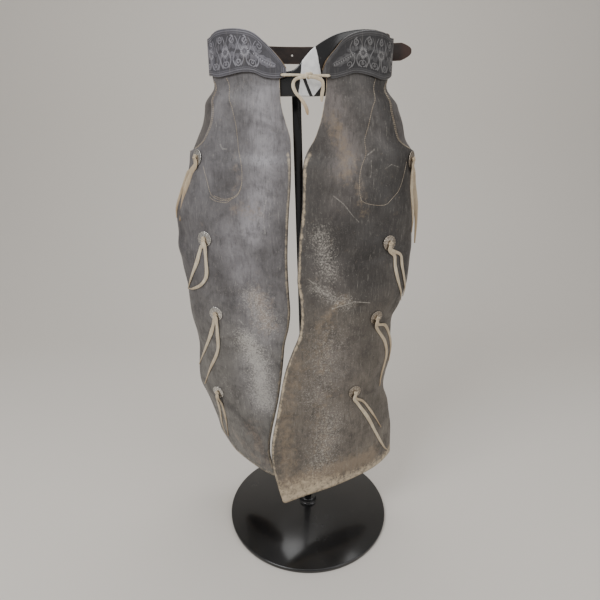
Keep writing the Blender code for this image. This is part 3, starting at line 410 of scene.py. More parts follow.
conchoPlaces = {}
for side in ("right", "left"):
    for number in range(1, 5):
        name = "concho_%s_%d" % (side, number)
        points = np.array([vertex.co for vertex in nodes[name].data.vertices])
        centre = points.mean(axis=0)
        normal = np.linalg.svd(points - centre, full_matrices=False)[2][2]
        if np.dot(normal, centre - np.array((leg["waistX"], 0.02, centre[2]))) < 0.0:
            normal = -normal
        foot = centre + normal * ((points - centre) @ normal).min()
        conchoPlaces[name] = (Vector(foot), Vector(normal))
# each concho's level and inset in millimetres
conchoSpots = inMetres({
    "right": ((954, 56), (786, 110), (610, 106), (386, 94)),
    "left": ((950, 40), (778, 106), (606, 104), (418, 132)),
})


def frontRelief(side, levels, insets):
    field = creaseField(levels, insets, creases[side]) + billow(levels, insets, 1 if side == "right" else 2)
    field *= smoothStep((1.075 - levels) / 0.05)
    for level, inset in conchoSpots[side]:                   # flat where a concho sits
        distance = np.hypot(levels - level, insets - inset)
        field *= smoothStep((distance - 0.016) / 0.014)
    return field


def surfacePoint(side, level, inset, lift=0.0):
    # a point on a front panel's outer face, with the outward direction there
    front, back = legLines(side, level)
    length = runLengths(front)[-1]
    here, ahead = atLengths(front, [length - max(inset, 0.0) - 0.002, length - max(inset, 0.0)])
    heading = (ahead - here) / np.linalg.norm(ahead - here)
    normal = np.array((sideSign(side) * heading[1], -heading[0], 0.0))
    height = hemHeight(side, level, ahead[0], front[0][0], front[-1][0])
    spot = np.array((sideSign(side) * (ahead[0] + max(-inset, 0.0)), ahead[1], height))
    relief = frontRelief(side, np.array([level]), np.array([max(inset, 0.0)]))[0]
    return spot + normal * (relief + lift), normal


# Camera, from the photograph's viewing angle

camera = bpy.data.objects.new("camera", bpy.data.cameras.new("camera"))
scene.collection.objects.link(camera)
camera.data.lens = 27.06
camera.data.sensor_width = 36.0
camera.location = (-0.022306, -1.030541, 0.979053)
camera.rotation_euler = (math.radians(71.0033), 0.0, 0.0)
scene.camera = camera
print("camera set")


# Shader helpers

def addNode(tree, kind, sockets=None, **settings):
    node = tree.nodes.new("ShaderNode" + kind)
    for key, value in settings.items():
        setattr(node, key, value)
    for key, value in (sockets or {}).items():
        if isinstance(value, bpy.types.NodeSocket):
            tree.links.new(value, node.inputs[key])
        else:
            node.inputs[key].default_value = value
    return node


def mixColour(tree, factor, first, second, blend="MIX"):
    node = addNode(tree, "Mix", data_type="RGBA", blend_type=blend)
    for socket, value in zip((node.inputs[0], node.inputs[6], node.inputs[7]), (factor, first, second)):
        if isinstance(value, bpy.types.NodeSocket):
            tree.links.new(value, socket)
        elif isinstance(value, (tuple, list)):
            socket.default_value = (*value, 1.0)
        else:
            socket.default_value = value
    return node.outputs[2]


def mathNode(tree, operation, first, second=0.0, clamp=False):
    return addNode(tree, "Math", {0: first, 1: second}, operation=operation, use_clamp=clamp).outputs[0]


def ramp(tree, value, low, high):
    # 0 below low, 1 above high, soft between
    node = addNode(tree, "MapRange", {0: value, 1: low, 2: high, 3: 0.0, 4: 1.0}, interpolation_type="SMOOTHSTEP")
    return node.outputs[0]


def times(tree, first, second, clamp=False):
    return mathNode(tree, "MULTIPLY", first, second, clamp)


def plusPart(tree, base, field, part):
    return mathNode(tree, "ADD", base, times(tree, field, part))


def tint(tree, colour, mask, part, shade, clamp=False):
    # one shade laid over the colour where the mask is
    return mixColour(tree, times(tree, mask, part, clamp), colour, shade)


def coatShader(tree, shader, colour, rough, height, strength, distance):
    # colour, roughness and a fine bump into the shader
    tree.links.new(colour, shader.inputs["Base Color"])
    tree.links.new(rough, shader.inputs["Roughness"])
    bump = addNode(tree, "Bump", {"Height": height, "Strength": strength, "Distance": distance})
    tree.links.new(bump.outputs[0], shader.inputs["Normal"])


def attribute(tree, name):
    return addNode(tree, "Attribute", attribute_name=name).outputs["Fac"]


def newGroup(name, inputs, outputs):
    group = bpy.data.node_groups.new(name, "ShaderNodeTree")
    for label, kind, value in inputs:
        socket = group.interface.new_socket(label, in_out="INPUT", socket_type="NodeSocket" + kind)
        if value is not None:
            socket.default_value = value
    for label, kind in outputs:
        group.interface.new_socket(label, in_out="OUTPUT", socket_type="NodeSocket" + kind)
    return group, group.nodes.new("NodeGroupInput").outputs, group.nodes.new("NodeGroupOutput").inputs


def useGroup(tree, group, sockets):
    return addNode(tree, "Group", sockets, node_tree=group).outputs


def newMaterial(name):
    material = bpy.data.materials.new(name)
    material.use_nodes = True
    tree = material.node_tree
    return material, tree, tree.nodes["Principled BSDF"]


def placeOnObject(tree):
    return addNode(tree, "TexCoord").outputs["Object"]


def noise(tree, vector, scale, detail=4.0, roughness=0.55, distortion=0.0):
    sockets = {"Vector": vector, "Scale": scale, "Detail": detail, "Roughness": roughness, "Distortion": distortion}
    return addNode(tree, "TexNoise", sockets).outputs[0]


# Grain: pores and pebbles of tanned leather, with a slower mottle
grainGroup, read, give = newGroup("leatherGrain", (("Vector", "Vector", None), ("Size", "Float", 0.0012)),
                                  (("Height", "Float"), ("Mottle", "Float"), ("Streak", "Float")))
tree = grainGroup
perMetre = mathNode(tree, "DIVIDE", 1.0, read["Size"])
pebble = addNode(tree, "TexVoronoi", {"Vector": read["Vector"], "Scale": perMetre}, feature="SMOOTH_F1").outputs[0]
fine = noise(tree, read["Vector"], 900.0, 3.0)
height = mathNode(tree, "ADD", times(tree, pebble, 0.6), times(tree, fine, 0.4))
tree.links.new(height, give["Height"])
tree.links.new(noise(tree, read["Vector"], 26.0, 8.0, 0.68, 0.4), give["Mottle"])
upright = addNode(tree, "Mapping", {"Vector": read["Vector"], "Scale": (1.0, 1.0, 0.10)}).outputs[0]
tree.links.new(noise(tree, upright, 210.0, 6.0, 0.72), give["Streak"])

# Wear: pale flecks, broad blotches and fine scratches that run several ways
wearGroup, read, give = newGroup("hideWear", (("Vector", "Vector", None),),
                                 tuple((name, "Float") for name in ("Fleck", "Blotch", "Scratch", "Hatch")))
tree = wearGroup
tree.links.new(noise(tree, read["Vector"], 260.0, 7.0, 0.82), give["Fleck"])
tree.links.new(noise(tree, read["Vector"], 85.0, 9.0, 0.74, 0.3), give["Blotch"])
lines, strokes = None, []
for turn, where in ((0.45, 11.0), (-0.85, 14.0), (1.25, 9.0)):
    drawn = addNode(tree, "Mapping", {"Vector": read["Vector"], "Rotation": (0.0, turn, 0.0),
                                      "Scale": (1.0, 1.0, 0.045)}).outputs[0]
    thin = ramp(tree, noise(tree, drawn, 260.0, 4.0, 0.75), 0.62, 0.76)
    here = times(tree, thin, ramp(tree, noise(tree, read["Vector"], where, 2.0), 0.46, 0.62))
    lines = here if lines is None else mathNode(tree, "MAXIMUM", lines, here)
    short = addNode(tree, "Mapping", {"Vector": read["Vector"], "Rotation": (0.0, 0.5 * turn, 0.0),
                                      "Scale": (1.0, 1.0, 0.22)}).outputs[0]
    strokes.append(noise(tree, short, 190.0, 5.0, 0.80))
tree.links.new(lines, give["Scratch"])
tree.links.new(times(tree, mathNode(tree, "ADD", strokes[0], strokes[1]), 0.5), give["Hatch"])

# Scratch: one worn line between two places on the surface's own map
scratchGroup, read, give = newGroup("scratchLine", (("Place", "Vector", None), ("Start", "Vector", None),
                                    ("End", "Vector", None), ("Width", "Float", 0.002)), (("Mask", "Float"),))
tree = scratchGroup
run = addNode(tree, "VectorMath", {0: read["End"], 1: read["Start"]}, operation="SUBTRACT").outputs[0]
off = addNode(tree, "VectorMath", {0: read["Place"], 1: read["Start"]}, operation="SUBTRACT").outputs[0]
dot = addNode(tree, "VectorMath", {0: off, 1: run}, operation="DOT_PRODUCT").outputs["Value"]
own = addNode(tree, "VectorMath", {0: run, 1: run}, operation="DOT_PRODUCT").outputs["Value"]
share = mathNode(tree, "DIVIDE", dot, own, clamp=True)
foot = addNode(tree, "VectorMath", {0: run, "Scale": share}, operation="SCALE").outputs[0]
gap = addNode(tree, "VectorMath", {0: off, 1: foot}, operation="DISTANCE").outputs["Value"]
tree.links.new(mathNode(tree, "SUBTRACT", 1.0, mathNode(tree, "DIVIDE", gap, read["Width"]), clamp=True),
               give["Mask"])

# Dust and small nicks on hard, dark surfaces
nickGroup, read, give = newGroup("nicksAndDust", (("Vector", "Vector", None), ("Amount", "Float", 0.5)),
                                 (("Mask", "Float"), ("Haze", "Float")))
tree = nickGroup
dots = addNode(tree, "TexVoronoi", {"Vector": read["Vector"], "Scale": 70.0}).outputs[0]
wide = noise(tree, read["Vector"], 9.0, 5.0)
dust = times(tree, ramp(tree, dots, 0.09, 0.05), ramp(tree, wide, 0.45, 0.62))
tree.links.new(times(tree, dust, read["Amount"]), give["Mask"])
tree.links.new(ramp(tree, noise(tree, read["Vector"], 5.0, 7.0, 0.7), 0.35, 0.75), give["Haze"])


# The leg leather

# each finish's light shade is a painted sheen, the pale highlight laid where the leather catches the light
legFinish = {
    "right": {
        "upper": (0.132, 0.125, 0.129),    # bluish, slightly purple grey
        "lower": (0.168, 0.158, 0.145),
        "dark": (0.032, 0.028, 0.029),
        "light": (0.345, 0.332, 0.352),
        "tan": (0.300, 0.235, 0.185),
        "worn": (0.540, 0.455, 0.335),
        "pale": (0.640, 0.610, 0.560),
        "lowerFrom": 0.62, "roughness": 0.58,
    },
    "left": {
        "upper": (0.076, 0.069, 0.064),    # neutral brown grey
        "lower": (0.138, 0.117, 0.095),
        "dark": (0.018, 0.015, 0.014),
        "light": (0.215, 0.190, 0.180),
        "tan": (0.270, 0.205, 0.140),
        "worn": (0.540, 0.440, 0.310),
        "pale": (0.640, 0.600, 0.530),
        "lowerFrom": 0.66, "roughness": 0.56,
    },
    "back": {
        "upper": (0.098, 0.088, 0.084),
        "lower": (0.120, 0.104, 0.092),
        "dark": (0.026, 0.022, 0.021),
        "light": (0.215, 0.198, 0.195),
        "tan": (0.270, 0.210, 0.155),
        "worn": (0.500, 0.410, 0.290),
        "pale": (0.560, 0.520, 0.460),
        "lowerFrom": 0.60, "roughness": 0.60,
    },
}
scratches = {
    # start and end as level and inset, half width, all in millimetres, then strength
    "right": (((980, 111), (971, 120), 2, 0.5), ((971, 120), (971, 131), 1.8, 0.4),
              ((599, 161), (588, 170), 2.4, 0.6), ((539, 224), (515, 225), 2.2, 0.5),
              ((872, 240), (800, 246), 1.6, 0.4), ((860, 252), (812, 256), 1.4, 0.3)),
    "left": (((881, 231), (863, 210), 1.6, 0.6), ((863, 210), (842, 195), 1.6, 0.6),
             ((842, 195), (827, 180), 1.4, 0.5), ((740, 261), (728, 237), 1.8, 0.5),
             ((710, 288), (700, 276), 1.6, 0.5), ((959, 162), (971, 140), 1.6, 0.5),
             ((950, 153), (926, 150), 1.4, 0.5), ((926, 150), (917, 153), 1.4, 0.4),
             ((932, 120), (941, 105), 1.4, 0.5), ((941, 105), (935, 83), 1.4, 0.4),
             ((640, 226), (652, 176), 2.6, 0.9), ((652, 176), (646, 140), 1.6, 0.8)),
    "back": (((705, 90), (690, 130), 1.6, 0.5), ((420, 150), (380, 156), 1.8, 0.5)),
}


def legLeather(side):
    finish = legFinish[side]
    material, tree, shader = newMaterial("legLeather_" + side)
    place = placeOnObject(tree)
    grain = useGroup(tree, grainGroup, {"Vector": place, "Size": 0.0016})
    wear = useGroup(tree, wearGroup, {"Vector": place})
    level = addNode(tree, "SeparateXYZ", {0: place}).outputs[2]
    low = ramp(tree, level, finish["lowerFrom"] + 0.12, finish["lowerFrom"] - 0.16)
    colour = mixColour(tree, low, finish["upper"], finish["lower"])
    # painted sheen: the pale light shade laid where the light attribute is high
    colour = tint(tree, colour, attribute(tree, "light"), 0.9, finish["light"], True)
    mottle = ramp(tree, grain["Mottle"], 0.40, 0.68)
    colour = tint(tree, colour, mottle, 0.45, finish["dark"])
    colour = tint(tree, colour, ramp(tree, grain["Streak"], 0.47, 0.33), 0.32, finish["dark"])
    colour = tint(tree, colour, attribute(tree, "shade"), 0.75, finish["dark"], True)
    colour = tint(tree, colour, ramp(tree, wear["Hatch"], 0.50, 0.36), 0.46, finish["dark"])
    brown = plusPart(tree, wear["Blotch"], attribute(tree, "tan"), 0.30)
    colour = tint(tree, colour, ramp(tree, brown, 0.56, 0.86), 0.62, finish["tan"])
    colour = tint(tree, colour, ramp(tree, wear["Hatch"], 0.52, 0.72), 0.26, finish["pale"])
    fleck = plusPart(tree, wear["Fleck"], attribute(tree, "rub"), 0.16)
    colour = tint(tree, colour, ramp(tree, fleck, 0.57, 0.78), 0.60, finish["pale"])
    colour = tint(tree, colour, wear["Scratch"], 0.46, finish["pale"])
    edge = plusPart(tree, wear["Blotch"], attribute(tree, "worn"), 0.52)
    colour = tint(tree, colour, ramp(tree, edge, 0.78, 1.12), 0.92, finish["worn"])
    onMap = addNode(tree, "UVMap", uv_map="surface").outputs[0]
    broken = ramp(tree, wear["Fleck"], 0.40, 0.58)
    for *lengths, strength in scratches[side]:
        start, end, width = inMetres(tuple(lengths))
        mask = useGroup(tree, scratchGroup, {"Place": onMap, "Start": (start[1], start[0], 0.0),
                                             "End": (end[1], end[0], 0.0), "Width": width})["Mask"]
        mask = times(tree, times(tree, mask, 0.8 * strength), broken)
        colour = mixColour(tree, mask, colour, finish["pale"])
    height = plusPart(tree, grain["Height"], grain["Mottle"], 2.6)
    height = mathNode(tree, "SUBTRACT", height, times(tree, wear["Scratch"], 0.5))
    rough = plusPart(tree, finish["roughness"] - 0.10, mottle, 0.20)
    coatShader(tree, shader, colour, rough, height, 0.45, 0.0009)
    return material


def plainLeather(name, colours, grainSize, roughness, strength=0.35):
    # leather of two colours that run into each other
    material, tree, shader = newMaterial(name)
    place = placeOnObject(tree)
    grain = useGroup(tree, grainGroup, {"Vector": place, "Size": grainSize})
    colour = mixColour(tree, ramp(tree, grain["Mottle"], 0.35, 0.7), colours[0], colours[1])
    pale = tuple(min(1.0, 1.8 * c) for c in colours[0])
    colour = tint(tree, colour, ramp(tree, grain["Streak"], 0.5, 0.75), 0.25, pale)
    rough = plusPart(tree, roughness - 0.08, grain["Mottle"], 0.16)
    coatShader(tree, shader, colour, rough, grain["Height"], strength, 0.0006)
    return material


fleshSide = plainLeather("fleshSide", ((0.260, 0.185, 0.115), (0.180, 0.125, 0.080)), 0.0009, 0.9, 0.6)
rawEdge = plainLeather("rawEdge", ((0.560, 0.440, 0.280), (0.330, 0.230, 0.130)), 0.0008, 0.85)
backLeather = legLeather("back")


# The legs: each front is one hide from behind the fold to its outer edge, each back meets it there

# the light runs lay a painted sheen, broad pale highlights where the leather catches the light
patches = {
    # strength, then half width and run in millimetres
    "right": {
        "light": ((0.95, 34, ((1060, 170), (960, 215), (860, 225), (800, 215))),
                  (0.50, 40, ((800, 180), (700, 190))), (0.45, 50, ((640, 200), (560, 215))),
                  (0.50, 50, ((480, 190), (390, 215))), (0.30, 40, ((1040, 70), (930, 110)))),
        "tan": ((0.55, 16, ((857, 174), (842, 233))), (0.50, 6, ((960, 150), (905, 171), (880, 162))),
                (0.80, 30, ((655, 210), (590, 222))), (0.60, 20, ((248, 110), (190, 190))),
                (0.60, 24, ((300, 175), (190, 225)))),
        "rub": ((1.35, 36, ((545, 170), (480, 195), (383, 220))),
                (0.90, 36, ((655, 200), (590, 225))),
                (0.35, 10, ((915, 232), (800, 242))), (0.40, 12, ((440, 110), (380, 130))),
                (0.35, 12, ((575, 162), (583, 200), (578, 232)))),
        "shade": ((0.80, 12, ((345, 120), (280, 184), (214, 222))),
                  (0.60, 16, ((500, 20), (400, 16), (300, 20))),
                  (0.55, 14, ((850, 12), (790, 30), (745, 45))),
                  (0.45, 30, ((1000, 90), (900, 140))), (0.45, 22, ((720, 130), (640, 150))),
                  (0.40, 30, ((740, 50), (560, 50))), (0.35, 30, ((460, 120), (380, 150)))),
    },
    "left": {
        "light": ((0.95, 34, ((1080, 190), (1000, 190), (930, 205))),
                  (0.55, 34, ((900, 190), (860, 215))), (0.35, 40, ((760, 250), (690, 230))),
                  (0.40, 60, ((520, 190), (440, 210))), (0.30, 60, ((360, 200), (280, 220))),
                  (0.35, 30, ((1080, 110), (1000, 110)))),
        "tan": ((0.75, 22, ((1020, 200), (930, 205))), (0.55, 12, ((905, 180), (850, 172))),
                (0.80, 14, ((605, 244), (629, 228), (659, 204))),
                (0.70, 30, ((197, 330), (360, 310), (527, 285))),
                (0.55, 34, ((600, 230), (500, 230))), (0.50, 40, ((420, 210), (280, 230))),
                (1.20, 36, ((205, 100), (200, 330)))),
        "rub": ((0.85, 30, ((800, 262), (740, 250), (720, 240))),
                (0.85, 18, ((690, 270), (660, 225), (648, 190))),
                (0.60, 60, ((560, 210), (430, 230))), (0.75, 50, ((360, 200), (240, 240)))),
        "shade": ((1.00, 46, ((1080, 70), (960, 70), (880, 60))),
                  (0.80, 50, ((890, 110), (840, 190), (780, 220))),
                  (0.90, 48, ((800, 110), (740, 180), (690, 150))),
                  (0.55, 30, ((800, 40), (640, 50))), (0.50, 36, ((600, 120), (500, 110))),
                  (0.45, 30, ((440, 60), (300, 60))), (0.40, 20, ((860, 150), (980, 120)))),
    },
    "back": {
        "light": ((0.60, 50, ((860, 100), (760, 130))), (0.45, 60, ((480, 130), (320, 110)))),
        "tan": ((0.60, 30, ((300, 60), (200, 120))), (0.45, 24, ((640, 80), (600, 150)))),
        "rub": ((0.70, 40, ((700, 110), (640, 140))), (0.45, 30, ((420, 90), (360, 70)))),
        "shade": ((0.70, 30, ((590, 60), (560, 160))), (0.50, 40, ((960, 60), (860, 40)))),
    },
}


def patchField(levels, insets, table):
    field = np.zeros_like(levels)
    for strength, *lengths in table:
        width, run = inMetres(tuple(lengths))
        nearest = nearestOnRun(levels, insets, run)[0]
        field = np.maximum(field, strength * np.exp(-(nearest / width) ** 2))
    return field


def legRows():
    below = np.linspace(leg["hemLevel"], leg["wingLow"], 168)
    turnShare = 1.0 - np.cos(np.linspace(0.0, math.pi / 2, 13))
    around = leg["wingLow"] + (leg["wingHigh"] - leg["wingLow"]) * turnShare
    above = np.linspace(leg["wingHigh"], leg["topLevel"], 25)
    return np.concatenate((below, around[1:], above[1:]))


def outwardNormals(places, flip):
    across = np.gradient(places, axis=1)
    up = np.gradient(places, axis=0)
    normal = np.cross(across, up)
    normal = normal / np.maximum(np.linalg.norm(normal, axis=2), 1e-12)[..., None]
    return -normal if flip else normal


def standing(name, mesh, *materials):
    mesh.shade_smooth()
    for material in materials:
        mesh.materials.append(material)
    piece = bpy.data.objects.new(name, mesh)
    scene.collection.objects.link(piece)
    return piece


def clothObject(name, places, flip, flatMap, fields, materials, thickness, grow=-1.0):
    # a grid of points as one sheet with a wall, its own map and its wear
    rows, columns = places.shape[:2]
    number = np.arange(rows * columns).reshape(rows, columns)
    corners = (number[:-1, :-1], number[:-1, 1:], number[1:, 1:], number[1:, :-1])
    faces = np.stack(corners, axis=-1).reshape(-1, 4)
    if flip:
        faces = faces[:, ::-1]
    mesh = bpy.data.meshes.new(name)
    mesh.from_pydata(places.reshape(-1, 3).tolist(), [], faces.tolist())
    layer = mesh.uv_layers.new(name="surface")
    loops = np.empty(len(mesh.loops), dtype=np.int32)
    mesh.loops.foreach_get("vertex_index", loops)
    layer.data.foreach_set("uv", flatMap.reshape(-1, 2)[loops].ravel())
    for label, field in fields.items():
        values = mesh.attributes.new(label, "FLOAT", "POINT")
        values.data.foreach_set("value", np.ascontiguousarray(field, dtype=np.float32).ravel())
    piece = standing(name, mesh, *materials)
    wall = piece.modifiers.new("wall", "SOLIDIFY")
    wall.thickness = thickness
    wall.offset = grow
    wall.use_even_offset = False
    wall.material_offset = 1
    wall.material_offset_rim = 2
    return piece


def meshFrom(work, name):
    mesh = bpy.data.meshes.new(name)
    work.to_mesh(mesh)
    work.free()
    return mesh


def closedMesh(name, points, faces, label, values):
    # faces turned outwards, with one value at each point
    mesh = bpy.data.meshes.new(name)
    mesh.from_pydata([tuple(point) for point in points], [], faces)
    work = bmesh.new()
    work.from_mesh(mesh)
    bmesh.ops.recalc_face_normals(work, faces=work.faces)
    work.to_mesh(mesh)
    work.free()
    mesh.attributes.new(label, "FLOAT", "POINT").data.foreach_set("value", values)
    return mesh


def finished(piece, slotName, *nodeNames):
    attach(piece, "root")
    if nodeNames:
        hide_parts(*nodeNames)
    return piece


def settle(piece):
    # what its modifiers make of it becomes its own mesh
    mesh = bpy.data.meshes.new_from_object(piece.evaluated_get(bpy.context.evaluated_depsgraph_get()))
    piece.modifiers.clear()
    piece.data = mesh


def softEdges(piece, width, segments):
    edge = piece.modifiers.new("soft edges", "BEVEL")
    edge.width = width
    edge.segments = segments
    edge.limit_method = "ANGLE"


def areaOf(places):
    a = places[1:, :-1] - places[:-1, :-1]
    b = places[:-1, 1:] - places[:-1, :-1]
    return float(np.linalg.norm(np.cross(a, b), axis=2).sum())


panel = {"fold": 18, "middle": 66, "edge": 24, "back": 60, "strip": 25, "foldSpan": 0.030, "edgeSpan": 0.075}
levels = legRows()
for side in ("right", "left"):
    frontPlaces, frontInset, frontRun = [], [], []
    backPlaces, backRun, stripInset = [], [], []
    for level in levels:
        front, back = legLines(side, level)
        length, rear = runLengths(front)[-1], runLengths(back)[-1]
        wrap = leg["wrap"] * (1.0 - smoothStep((level - leg["foldTop"]) / (leg["crotch"] - leg["foldTop"])))
        far = length - slashInset(level)
        near, edge = panel["foldSpan"], length - panel["edgeSpan"]
        stations = np.concatenate((-wrap + (near + wrap) * np.linspace(0.0, 1.0, panel["fold"])[:-1] ** 1.5,
                                   np.linspace(near, edge, panel["middle"])[:-1],
                                   np.linspace(edge, far, panel["edge"])))
        line = np.where((stations < 0)[:, None], atLengths(back, np.maximum(-stations, 0)),
                        atLengths(front, np.maximum(stations, 0)))
        frontPlaces.append(inSpace(side, level, line, front))
        frontInset.append(length - stations)
        frontRun.append(stations)
        rise = min(max((level - leg["backRise"]) / (leg["topLevel"] - leg["backRise"]), 0.0), 1.0) ** 0.6
        start = (leg["wrap"] + leg["seamGap"]) * (1 - rise) + (rear - leg["backTopLength"]) * rise
        tucked = movedInward(front, leg["leather"] + leg["tuckGap"])
        inner = runLengths(tucked)[-1]
        tuck = readTable(insetColumns, tucks[side], level)["inset"]
        strip = np.linspace(inner - leg["leave"], inner - tuck, panel["strip"])[1:]
        line = np.vstack((atLengths(back, np.linspace(start, rear, panel["back"])), atLengths(tucked, strip)))
        backPlaces.append(inSpace(side, level, line, front))
        backRun.append(np.concatenate((np.linspace(0.0, rear - start, panel["back"]),
                                       rear - start + inner - leg["leave"] - strip)))
        stripInset.append(np.concatenate((np.full(panel["back"], leg["leave"]), inner - strip)))
    frontPlaces, frontInset, frontRun = np.array(frontPlaces), np.array(frontInset), np.array(frontRun)
    backPlaces, backRun, stripInset = np.array(backPlaces), np.array(backRun), np.array(stripInset)
    grid = levels[:, None] * np.ones_like(frontInset)
    relief = frontRelief(side, grid, frontInset) * smoothStep((frontRun - 0.004) / 0.030)
    frontPlaces = frontPlaces + outwardNormals(frontPlaces, side == "right") * relief[..., None]
    fields = {key: patchField(grid, frontInset, patches[side][key]) for key in patches[side]}
    wavy = 0.5 + 0.5 * np.sin(grid * 83.0 + 2.0 * np.sin(grid * 31.0))
    wide = 0.0042 + (0.0010 if side == "right" else 0.0032) * wavy
    folded = np.exp(-((frontRun - 0.007) / wide) ** 2) * smoothStep((0.985 - grid) / 0.03)
    sliced = np.exp(-(np.maximum(frontRun, 0.0) / 0.0016) ** 2) * smoothStep((grid - 0.945) / 0.02)
    hemReach = 0.034 if side == "right" else 0.046 + 0.050 * smoothStep((frontInset - 0.16) / 0.14)
    hemmed = smoothStep((leg["hemLevel"] + hemReach - grid) / hemReach)
    hemmed = hemmed if side == "right" else 1.2 * hemmed ** 0.55
    pocketEdge = np.array([slashInset(level) for level in levels])[:, None]
    brink = np.exp(-(np.maximum(frontInset - pocketEdge, 0.0) / 0.0022) ** 2)
    fields["worn"] = np.maximum.reduce((folded, sliced, 0.85 * hemmed, 0.55 * brink))
    flatMap = np.stack((frontInset, grid), axis=-1)
    piece = clothObject("front_panel_" + side, frontPlaces, side == "right", flatMap, fields,
                        (legLeather(side), fleshSide, rawEdge), leg["leather"])
    finished(piece, "leg_leather", "leg_front_" + side)
    cutArea = areaOf(frontPlaces)
    width, tall = float((frontRun[:, -1] - frontRun[:, 0]).max()), float(levels[-1] - levels[0]) + 0.03
    print("front panel", side, "cut %.3f x %.3f m, area %.4f m2" % (width, tall, cutArea))

    grid = levels[:, None] * np.ones_like(backRun)
    onStrip = np.arange(backRun.shape[1])[None, :] >= panel["back"]
    span = backRun[:, panel["back"] - 1:panel["back"]]
    hide = smoothStep(backRun / 0.03) * smoothStep((span - backRun) / 0.03) * smoothStep((1.04 - grid) / 0.1)
    shift = 0.0 if side == "right" else 0.035
    own = 1.4 * creaseField(grid + shift, backRun, creases["back"]) + 1.5 * billow(grid, backRun, 5 + shift * 40)
    relief = np.where(onStrip, frontRelief(side, grid, stripInset), own * hide)
    backPlaces = backPlaces + outwardNormals(backPlaces, side == "left") * relief[..., None]
    flatMap = np.stack((backRun, grid), axis=-1)
    fields = {key: patchField(grid + shift, backRun, patches["back"][key]) for key in patches["back"]}
    fields["worn"] = 0.8 * smoothStep((leg["hemLevel"] + 0.026 - grid) / 0.026)
    piece = clothObject("back_panel_" + side, backPlaces, side == "left", flatMap, fields,
                        (backLeather, fleshSide, rawEdge), leg["leather"])
    finished(piece, "leg_leather", "leg_back_" + side)
    cutArea = areaOf(backPlaces)
    width = float(backRun[:, -1].max())
    print("back panel", side, "cut %.3f x %.3f m, area %.4f m2" % (width, tall, cutArea))


# The yokes: carved leather, with scrolls, leaves and flowers over a matted ground

yoke = {
    "inner": 0.0033, "leather": 0.0040, "columns": 330, "rows": 88,
    "border": (0.0028, 0.0068), "groove": 0.0011, "depth": 0.0009,
    "laceHoles": {"right": (10.7, 1.1010), "left": (16.6, 1.0998)},
}
yokeColumns = ("angle", "low", "high")
yokeTables = {
    "right": ((8.2, 1.1000, 1.1105), (11.3, 1.0962, 1.1255), (16.2, 1.0955, 1.1427),
              (22.0, 1.0985, 1.1595), (28.2, 1.1062, 1.1733), (36.5, 1.1083, 1.1807),
              (49.0, 1.1050, 1.1841), (60.5, 1.1036, 1.1836), (72.0, 1.1085, 1.1775),
              (86.0, 1.1112, 1.1790)),
    "left": ((12.8, 1.0998, 1.1070), (15.4, 1.0965, 1.1263), (19.8, 1.0955, 1.1431),
             (25.8, 1.1000, 1.1633), (34.5, 1.1066, 1.1754), (45.5, 1.1042, 1.1806),
             (59.5, 1.0993, 1.1808), (70.8, 1.1030, 1.1760), (84.0, 1.1112, 1.1800)),
}


def leafHeight(across, up, foot, turn, length, width):
    # a pointed leaf with a centre vein and side veins, raised at its middle
    c, s = math.cos(turn), math.sin(turn)
    a = ((across - foot[0]) * c + (up - foot[1]) * s) / length
    b = (-(across - foot[0]) * s + (up - foot[1]) * c) / width
    edge = np.sin(np.pi * np.clip(a, 0.0, 1.0) ** 0.8) * (1.0 + 0.10 * np.sin(a * 26.0))
    inside = smoothStep((edge - np.abs(b)) / 0.22) * (a > 0.0) * (a < 1.0)
    vein = np.exp(-(b / 0.12) ** 2) + 0.5 * np.exp(-((np.abs(b) - 0.5) / 0.10) ** 2) * (np.sin(a * 30.0) > 0.2)
    return inside * (1.0 - 0.35 * np.abs(b) - 0.55 * vein)


def flowerHeight(across, up, middle, radius, turn):
    # petals round a ring of beads
    far = np.hypot(across - middle[0], up - middle[1]) / radius
    angle = np.arctan2(up - middle[1], across - middle[0]) + turn
    petal = np.abs(np.cos(2.5 * angle))
    inside = smoothStep((0.72 + 0.28 * petal - far) / 0.10)
    groove = np.exp(-((petal - 0.05) / 0.16) ** 2) * (far > 0.36)
    ribs = 0.12 * np.cos(15.0 * angle) * (far > 0.45)
    body = inside * (0.75 + 0.25 * np.sin(np.pi * np.clip(far, 0, 1)) - 0.55 * groove + ribs)
    bead = np.exp(-((far - 0.30) / 0.07) ** 2) * (0.55 + 0.45 * np.cos(9.0 * angle))
    heart = np.exp(-(far / 0.16) ** 2)
    return np.where(far < 0.40, 0.45 + 0.55 * np.maximum(bead, heart), body)


def stemHeight(across, up, run, width):
    # a rounded stem, thinner towards its end, with a lined edge
    nearest, along = nearestOnRun(across, up, run, False)
    half = width * (1.0 - 0.55 * along)
    groove = 0.35 * np.exp(-((nearest / half - 0.62) / 0.14) ** 2)
    return smoothStep((half - nearest) / (0.5 * half)) * (1.0 - groove)


def scrollRun(middle, radius, start, turns, count=26):
    # a line that winds into its middle
    shares = np.linspace(0.0, 1.0, count)
    angles = start + turns * 2 * math.pi * shares
    reach = radius * (1.0 - 0.86 * shares)
    return np.column_stack((middle[0] + reach * np.cos(angles), middle[1] + reach * np.sin(angles)))


